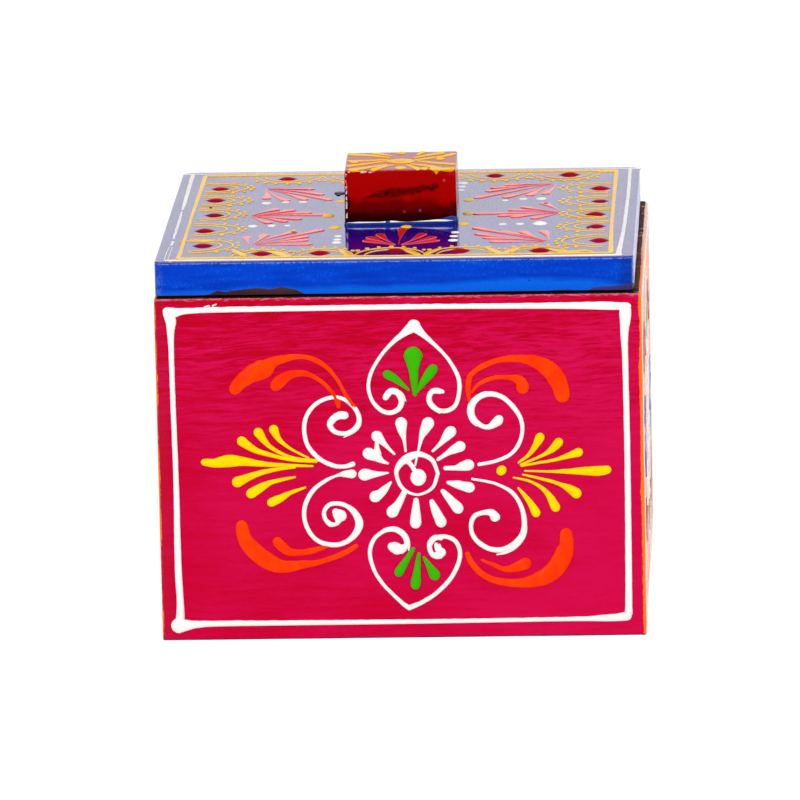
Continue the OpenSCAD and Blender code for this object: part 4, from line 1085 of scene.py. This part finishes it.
def wall_board(name, node, seed):
    """A wall with its outer corners and its rim softened, and square joints."""
    low, high = span(node)
    bm = block(low, high)

    def at_joint(edge):
        middle = (edge.verts[0].co + edge.verts[1].co) / 2
        inside = min(HALF_W - abs(middle.x), HALF_D - abs(middle.y)) > .1
        return upright(edge) and (inside or "side" in name)

    back = [e for e in bm.edges if upright(e) and e.verts[0].co.y > HALF_D - .1 and not at_joint(e)]
    if back:
        soften(bm, back, WALL_BACK_R, 5)
    soften(bm, [e for e in bm.edges if not at_joint(e) and e.calc_face_angle(0) > SQUARE], WALL_EDGE_R)
    planed(bm, low, high, seed, **WALL_PLANED)
    return finish_mesh(bm, name)


def lid_board(name):
    """The lid: rounded corners in plan, softened edges, and a slightly wavering outline."""
    bm = block(LID_LOW, LID_HIGH)
    soften(bm, [e for e in bm.edges if upright(e) and e.verts[0].co.y < 0], LID_CORNER_R, 5)
    soften(bm, [e for e in bm.edges if upright(e) and e.verts[0].co.y > 0], LID_BACK_R, 6)
    soften(bm, [e for e in bm.edges if level(e) and e.calc_face_angle(0) > SQUARE], LID_EDGE_R)
    planed(bm, LID_LOW, LID_HIGH, 3, **LID_PLANED)
    return finish_mesh(bm, name)


def knob_block(name):
    """The knob: a sawn block, a touch narrower at the top, with worn edges."""
    half = Vector(((KNOB_HIGH.x - KNOB_LOW.x) / 2 - KNOB_SHY, (KNOB_HIGH.y - KNOB_LOW.y) / 2 - KNOB_SHY, 0))
    low = -half
    high = half + Vector((0, 0, KNOB_HIGH.z - KNOB_LOW.z))
    bm = block(low, high)
    soften(bm, bm.edges[:], KNOB_EDGE_R, 5)
    planed(bm, low, high, 8, **KNOB_PLANED)
    for vertex in bm.verts:
        share = 1 - (1 - KNOB_TAPER) * max(vertex.co.z, 0) / high.z
        vertex.co.x *= share
        vertex.co.y *= share
    bmesh.ops.transform(bm, matrix=knob_place(KNOB_LOW.z), verts=bm.verts[:])
    return finish_mesh(bm, name)


def bored(mesh, *nodes):
    """Takes the holes of the fastenings out of a board."""
    board = bpy.data.objects.new("board", mesh)
    bpy.context.scene.collection.objects.link(board)
    for node in nodes:
        copy = bmesh.new()
        copy.from_mesh(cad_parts[node].data)
        bmesh.ops.remove_doubles(copy, verts=copy.verts[:], dist=1e-7)
        cutter_mesh = bpy.data.meshes.new("cutter")
        copy.to_mesh(cutter_mesh)
        copy.free()
        cutter = bpy.data.objects.new("cutter", cutter_mesh)
        bpy.context.scene.collection.objects.link(cutter)
        cut = board.modifiers.new("bores", "BOOLEAN")
        cut.operation = "DIFFERENCE"
        cut.solver = "EXACT"
        cut.object = cutter
        bpy.context.view_layer.update()
        drilled = bpy.data.meshes.new_from_object(
            board.evaluated_get(bpy.context.evaluated_depsgraph_get()))
        board.modifiers.clear()
        board.data = drilled
        bpy.data.objects.remove(cutter)
    result = board.data
    bpy.data.objects.remove(board)
    return result


# ---------------------------------------------------------------------------------------------
# Assembly

FINISHES = {kind: cone_paint(kind + "_cone_paint", kind) for kind in FRONT_COLOURS}
for side_kind in SIDE_COLOURS:
    FINISHES["side_" + side_kind] = cone_paint(side_kind + "_side_paint", side_kind, glaze=SIDE_PAINT_GLAZE)
FINISHES.update({
    "lid_white": cone_paint("white_lid_paint", "lid_white", specular=0, glaze=.3, bare_above=LID_GLAZE_TOP),
    "lid_yellow": cone_paint("yellow_lid_paint", "lid_yellow", specular=.02, glaze=.5,
                             bare_above=LID_GLAZE_TOP),
    "ruby": cone_paint("ruby_cone_paint", "ruby", specular=.01),
    "red": cone_paint("red_cone_paint", "red", glaze=1),
    "gold": cone_paint("gold_cone_paint", "gold", glaze=.25),
    "dark": cone_paint("dark_speck_paint", "dark"),
})
CRIMSON_WALLS = wall_finish("crimson_wall_paint", True)
ORANGE_WALLS = wall_finish("orange_wall_paint", False)


def piece(name, mesh, material, body, slot, *nodes):
    """Puts a mesh into the scene as a piece of the object."""
    mesh.name = name
    mesh.materials.clear()
    mesh.materials.append(material)
    made = bpy.data.objects.new(name, mesh)
    bpy.context.scene.collection.objects.link(made)
    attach(made, body)
    if nodes:
        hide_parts(*nodes)
    return made


def build_walls():
    """The four boards of the box, bored for their brads."""
    for seed, side in enumerate(("front", "back")):
        mesh = bored(wall_board(side + "_board", side + "_wall", seed + 2), "wall_brads", "bottom_brads")
        piece(side + "_painted_board", mesh, CRIMSON_WALLS, "box", "crimson_paint", side + "_wall")
    for seed, side in enumerate(("left", "right")):
        mesh = bored(wall_board(side + "_side_board", side + "_wall", seed + 5), "wall_brads")
        piece(side + "_painted_board", mesh, ORANGE_WALLS, "box", "orange_paint", side + "_wall")


def build_wall_paint():
    """The same ornament on all four walls, in the colours of each."""
    flower = [(flower_ring(), True), (FLOWER_TONGUE, False), (dot(*FLOWER_EYE), False)]
    kinds = {"lines": open_strokes(SCROLLS, HEARTS, CURL_SECONDS, PETALS, BORDER) + flower,
             "plumes": open_strokes(PLUMES),
             "swooshes": open_strokes(SWOOSHES),
             "leaves": open_strokes(LEAVES)}
    for side, turn in (("front", 0), ("right", 90), ("back", 180), ("left", 270)):
        at_side = side in ("left", "right")
        colours, height = (SIDE_COLOURS, SIDE_RELIEF_H) if at_side else (FRONT_COLOURS, RELIEF_H)
        for colour, (kind, strokes) in zip(colours, kinds.items()):
            name = f"{side}_{colour}_{kind}"
            mesh = paint_mesh("raised_" + name, wall_place(turn, HALF_D), (strokes, thick(height)))
            finish = FINISHES["side_" + colour if at_side else colour]
            piece("raised_" + name, mesh, finish, "box", colour + "_cone_paint", name)


def scallop_row(joints, depth, seed, at, fill=1):
    """Scallops between the joints of a row, filling a share of it; at(along, out) is a point on the lid."""
    arcs = []
    beads = []
    for k, (low, high) in enumerate(zip(joints, joints[1:])):
        middle, half = (low + high) / 2, (high - low) / 2 * fill
        reach = depth * (1 + DEPTH_WANDER * noise.noise(Vector((k * 1.7, seed, .5))))
        for share, depth_share, half_w in SCALLOP_ARCS:
            wide, deep = half * share, reach * depth_share
            arcs.append([(*at(middle + wide * cos(a), deep * sin(a)),
                          half_w * (ARC_THIN + ARC_SWELL * sin(a))) for a in map(radians, ARC_TURNS)])
        for b in range(FRINGE_BEADS):
            a = radians(FRINGE_FROM + (180 - 2 * FRINGE_FROM) * b / (FRINGE_BEADS - 1))
            out = FRINGE_OUT + FRINGE_WANDER * noise.noise(Vector((b * 2.1, k * 3.3, seed)))
            x, y = at(middle + (half + out) * cos(a), (reach + out) * sin(a))
            swell = 1 + FRINGE_WANDER * noise.noise(Vector((k * 2.3, b * 1.9, seed)))
            beads.append(dot(x, y, FRINGE_R * swell))
    return arcs, beads


def fan_petals():
    """The petals of the lid's fans: thin at the root, with a round head."""
    petals = []
    for (root_x, root_y), tips in FANS:
        for k, (tip_x, tip_y) in enumerate(tips):
            run_x, run_y = tip_x - root_x, tip_y - root_y
            bow = FAN_BOW * (1 if k % 2 else -1) * (k > 0)
            petal = []
            for at, half_w in FAN_PETAL:
                side = bow * at * (1 - at)
                petal.append((root_x + run_x * at - run_y * side,
                              root_y + run_y * at + run_x * side, half_w))
            petals.append(petal)
    return open_strokes([drawn_in(petal) for petal in petals])


def build_lid_paint():
    """The raised pattern on the lid: scallops, fans, lines, drops and a few stray specks."""
    lid_place = Matrix.Translation((0, 0, LID_TOP))
    rows = [(LEFT_JOINTS, COLUMN_DEPTH, 1, lambda along, out: (LEFT_LINE + out, along), COLUMN_FILL),
            (RIGHT_JOINTS, COLUMN_DEPTH, 2, lambda along, out: (RIGHT_LINE - out, along), COLUMN_FILL),
            (FRONT_JOINTS, ROW_DEPTH, 3, lambda along, out: (along, FRONT_LINE + out), 1),
            (BACK_JOINTS, ROW_DEPTH, 4, lambda along, out: (along, BACK_LINE / LID_ART_SHARE - out), 1)]
    lines = LID_YELLOW + LID_SMEARS
    for row in rows:
        arcs, beads = scallop_row(*row)
        lines += [drawn_in(stroke) for stroke in arcs + beads]
    yellow, white = (open_strokes([drawn_in(dot(x, y, r * DROP_SPREAD)) for x, y, r in dots])
                     for dots in (YELLOW_DOTS, WHITE_DOTS))
    rubies = open_strokes([drawn_in(lens(x, y, r * RUBY_SPREAD)) for x, y, r in RUBIES])
    thin = thick(LINE_H)
    layers = {
        "lid_yellow_scallops": ("lid_yellow", "yellow", (open_strokes(lines), thin), (yellow, drop)),
        "lid_white_lines": ("lid_white", "white", (open_strokes(LID_WHITE), thin), (white, drop)),
        "lid_ruby_dots": ("ruby", "ruby", (rubies, drop)),
        "lid_red_palmettes": ("red", "red", (fan_petals(), film)),
    }
    for node, (finish, slot, *parts) in layers.items():
        mesh = paint_mesh("raised_" + node, lid_place, *parts)
        piece("raised_" + node, mesh, FINISHES[finish], "lid", slot + "_cone_paint", node)
    for tone, slot in (("dark", "blue_cone_paint"), ("gold", "gold_cone_paint")):
        specks = open_strokes([drawn_in(dot(x, y, r)) for x, y, r, kind in LID_SPECKS if kind == tone])
        mesh = paint_mesh("specks", lid_place, (specks, thin))
        piece(f"stray_{tone}_specks", mesh, FINISHES[tone], "lid", slot)


def build_lid():
    """The lid's board and its knob, bored for their brads and the screw, and the knob's sunburst."""
    mesh = bored(lid_board("lid_top_board"), "lid_brads", "knob_screw")
    piece("lid_painted_board", mesh, lid_finish(), "lid", "blue_paint", "lid_board")
    mesh = bored(knob_block("knob_block"), "knob_screw")
    piece("knob_painted_block", mesh, knob_finish(), "lid", "dark_red_paint", "knob")
    strokes = [SUN_EYE, SUN_UNDERLINE] + SUN_RAYS + [dot(*d) for d in SUN_DOTS]
    sun = open_strokes([[(x, y, r * SUN_SWELL) for x, y, r in stroke] for stroke in strokes])
    mesh = paint_mesh("sunburst", knob_place(KNOB_TOP), (sun, thick(LINE_H)))
    piece("raised_knob_gold_sunburst", mesh, FINISHES["gold"], "lid", "gold_cone_paint",
          "knob_gold_sunburst")


def build_bead():
    """A fillet of lid paint round the foot of the knob, higher at the front right corner."""
    half_x = (KNOB_HIGH.x - KNOB_LOW.x) / 2 - BEAD_SETBACK
    half_y = (KNOB_HIGH.y - KNOB_LOW.y) / 2 - BEAD_SETBACK
    corner = KNOB_EDGE_R
    outline = []
    for sx, sy, start in ((1, 1, 0), (-1, 1, 90), (-1, -1, 180), (1, -1, 270)):
        outline += [(sx * (half_x - corner) + corner * cos(radians(start + a)),
                     sy * (half_y - corner) + corner * sin(radians(start + a))) for a in range(0, 91, 30)]
    path = []
    for (ax, ay), (bx, by) in zip(outline, outline[1:] + outline[:1]):
        cuts = max(1, round(hypot(bx - ax, by - ay) / BEAD_STEP))
        path += [(ax + (bx - ax) * k / cuts, ay + (by - ay) * k / cuts) for k in range(cuts)]
    path = [(x, y, BEAD_HALF_W * (1 + BEAD_UNEVEN * noise.noise(Vector((x * .35, y * .35, 5)))))
            for x, y in path]
    mesh = swept("bead", [(path, True)])
    for vertex in mesh.vertices:
        if vertex.co.z > 0:
            swell = max(0, (vertex.co.x - BEAD_SWELL_FROM) / BEAD_SWELL_RUN) * BEAD_SWELL
            rise = 1 + swell * (vertex.co.y < -half_y + BEAD_SWELL_DEPTH)
            vertex.co.z *= BEAD_H / BEAD_HALF_W * rise
        else:
            vertex.co.z = -BEAD_SINK
    piece("knob_foot_bead", placed(mesh, knob_place(LID_TOP)), bead_finish(), "lid", "blue_paint")


def dress_plain_nodes():
    """Finishes for the nodes that keep their own shape."""
    wood = wood_finish("stained_wood_finish")
    steel = steel_finish("steel_finish")
    for finish, nodes in ((wood, ("bottom_board", "lid_locating_board")),
                          (steel, ("wall_brads", "bottom_brads", "lid_brads", "knob_screw"))):
        for node in nodes:
            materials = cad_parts[node].data.materials
            materials.clear()
            materials.append(finish)


# ---------------------------------------------------------------------------------------------
# Studio

WHITE = (1, 1, 1, 1)
AMBIENT = .42                           # light from all round, as a share of white
FLOOR_LIGHT = .82                       # how much of the floor's look to the camera is plain white
FLOOR_WHITE = 1.13
FLOOR_MATT = (.9, .9, .9, 1)
FLOOR_HALF_W = 6                        # metres
LAMPS_LOOK_AT = Vector((0, 0, .04))

CAMERA_TARGET = Vector((-2.068, 0, 40.203))
CAMERA_DISTANCE = 2028.7
CAMERA_YAW = 2.505
CAMERA_PITCH = 12.042
CAMERA_ROLL = -1.253
LENS = 426.62
SENSOR = 36


def build_world():
    """A sky that looks white, and lights the object a good deal less."""
    f = Finish("white_studio", "worlds")
    camera, glossy, clear = f.looks()
    seen = camera.either(glossy).either(clear)
    level_of_light = f.node("ShaderNodeMapRange", inputs={0: seen, 3: AMBIENT, 4: 1})
    sky = f.node("ShaderNodeBackground", inputs={"Color": WHITE, "Strength": level_of_light})
    f.node("ShaderNodeOutputWorld", inputs={0: sky})
    bpy.context.scene.world = f.owner


def build_floor():
    """A floor that takes shadows but looks almost as white as the sky."""
    f = Finish("studio_floor")
    camera, glossy, clear = f.looks()
    seen = (camera * FLOOR_LIGHT).either(glossy).either(clear)
    matt = f.node("ShaderNodeBsdfDiffuse", inputs={"Color": FLOOR_MATT})
    white = f.node("ShaderNodeEmission", inputs={"Color": WHITE, "Strength": FLOOR_WHITE})
    both = f.node("ShaderNodeMixShader", inputs={0: seen, 1: matt, 2: white})
    f.node("ShaderNodeOutputMaterial", inputs={0: both})
    bm = bmesh.new()
    bmesh.ops.create_grid(bm, x_segments=1, y_segments=1, size=FLOOR_HALF_W)
    mesh = bpy.data.meshes.new("studio_floor")
    bm.to_mesh(mesh)
    bm.free()
    mesh.materials.append(f.owner)
    floor = bpy.data.objects.new("studio_floor", mesh)
    bpy.context.scene.collection.objects.link(floor)


def lamp(name, azimuth, elevation, distance, size, level, mirrored=True):
    """A softbox, width by height, that looks at the object; at level 1 it alone lights a sheet fully."""
    light = bpy.data.lights.new(name, "AREA")
    light.shape = "RECTANGLE"
    light.size, light.size_y = size
    light.energy = level * pi * pi * distance * distance
    made = bpy.data.objects.new(name, light)
    a, e = radians(azimuth), radians(elevation)
    place = Vector((sin(a) * cos(e), -cos(a) * cos(e), sin(e))) * distance
    made.location = place + LAMPS_LOOK_AT
    made.rotation_euler = place.to_track_quat("Z", "Y").to_euler()
    made.visible_glossy = mirrored
    bpy.context.scene.collection.objects.link(made)


def build_camera():
    """A camera far off, with a long lens, turned by its yaw, pitch and roll in degrees."""
    yaw, pitch, roll = radians(CAMERA_YAW), radians(CAMERA_PITCH), radians(CAMERA_ROLL)
    ahead = Vector((-sin(yaw) * cos(pitch), cos(yaw) * cos(pitch), -sin(pitch)))
    level_right = Vector((cos(yaw), sin(yaw), 0))
    level_up = level_right.cross(ahead)
    right = level_right * cos(roll) + level_up * sin(roll)
    up = level_up * cos(roll) - level_right * sin(roll)
    data = bpy.data.cameras.new("camera")
    data.lens = LENS
    data.sensor_width = SENSOR
    data.sensor_fit = "HORIZONTAL"
    data.clip_start = .05
    data.clip_end = 20
    made = bpy.data.objects.new("camera", data)
    turn = Matrix((right, up, -ahead)).transposed()
    made.matrix_world = Matrix.Translation((CAMERA_TARGET - ahead * CAMERA_DISTANCE) * MM) @ turn.to_4x4()
    bpy.context.scene.collection.objects.link(made)
    bpy.context.scene.camera = made


build_walls()
build_wall_paint()
build_lid()
build_lid_paint()
build_bead()
dress_plain_nodes()
build_world()
build_floor()
build_camera()
lamp("key_softbox", -28, 20, 2.6, (.8, .8), .35)
lamp("fill_softbox", 40, 14, 3, (1.4, 1.4), .14)
lamp("side_softbox", 96, 12, 2.6, (1, 1), .2, mirrored=False)
lamp("overhead_softbox", 0, 80, 2.4, (1.2, 1.2), .34)
bpy.context.scene.view_settings.view_transform = "Standard"
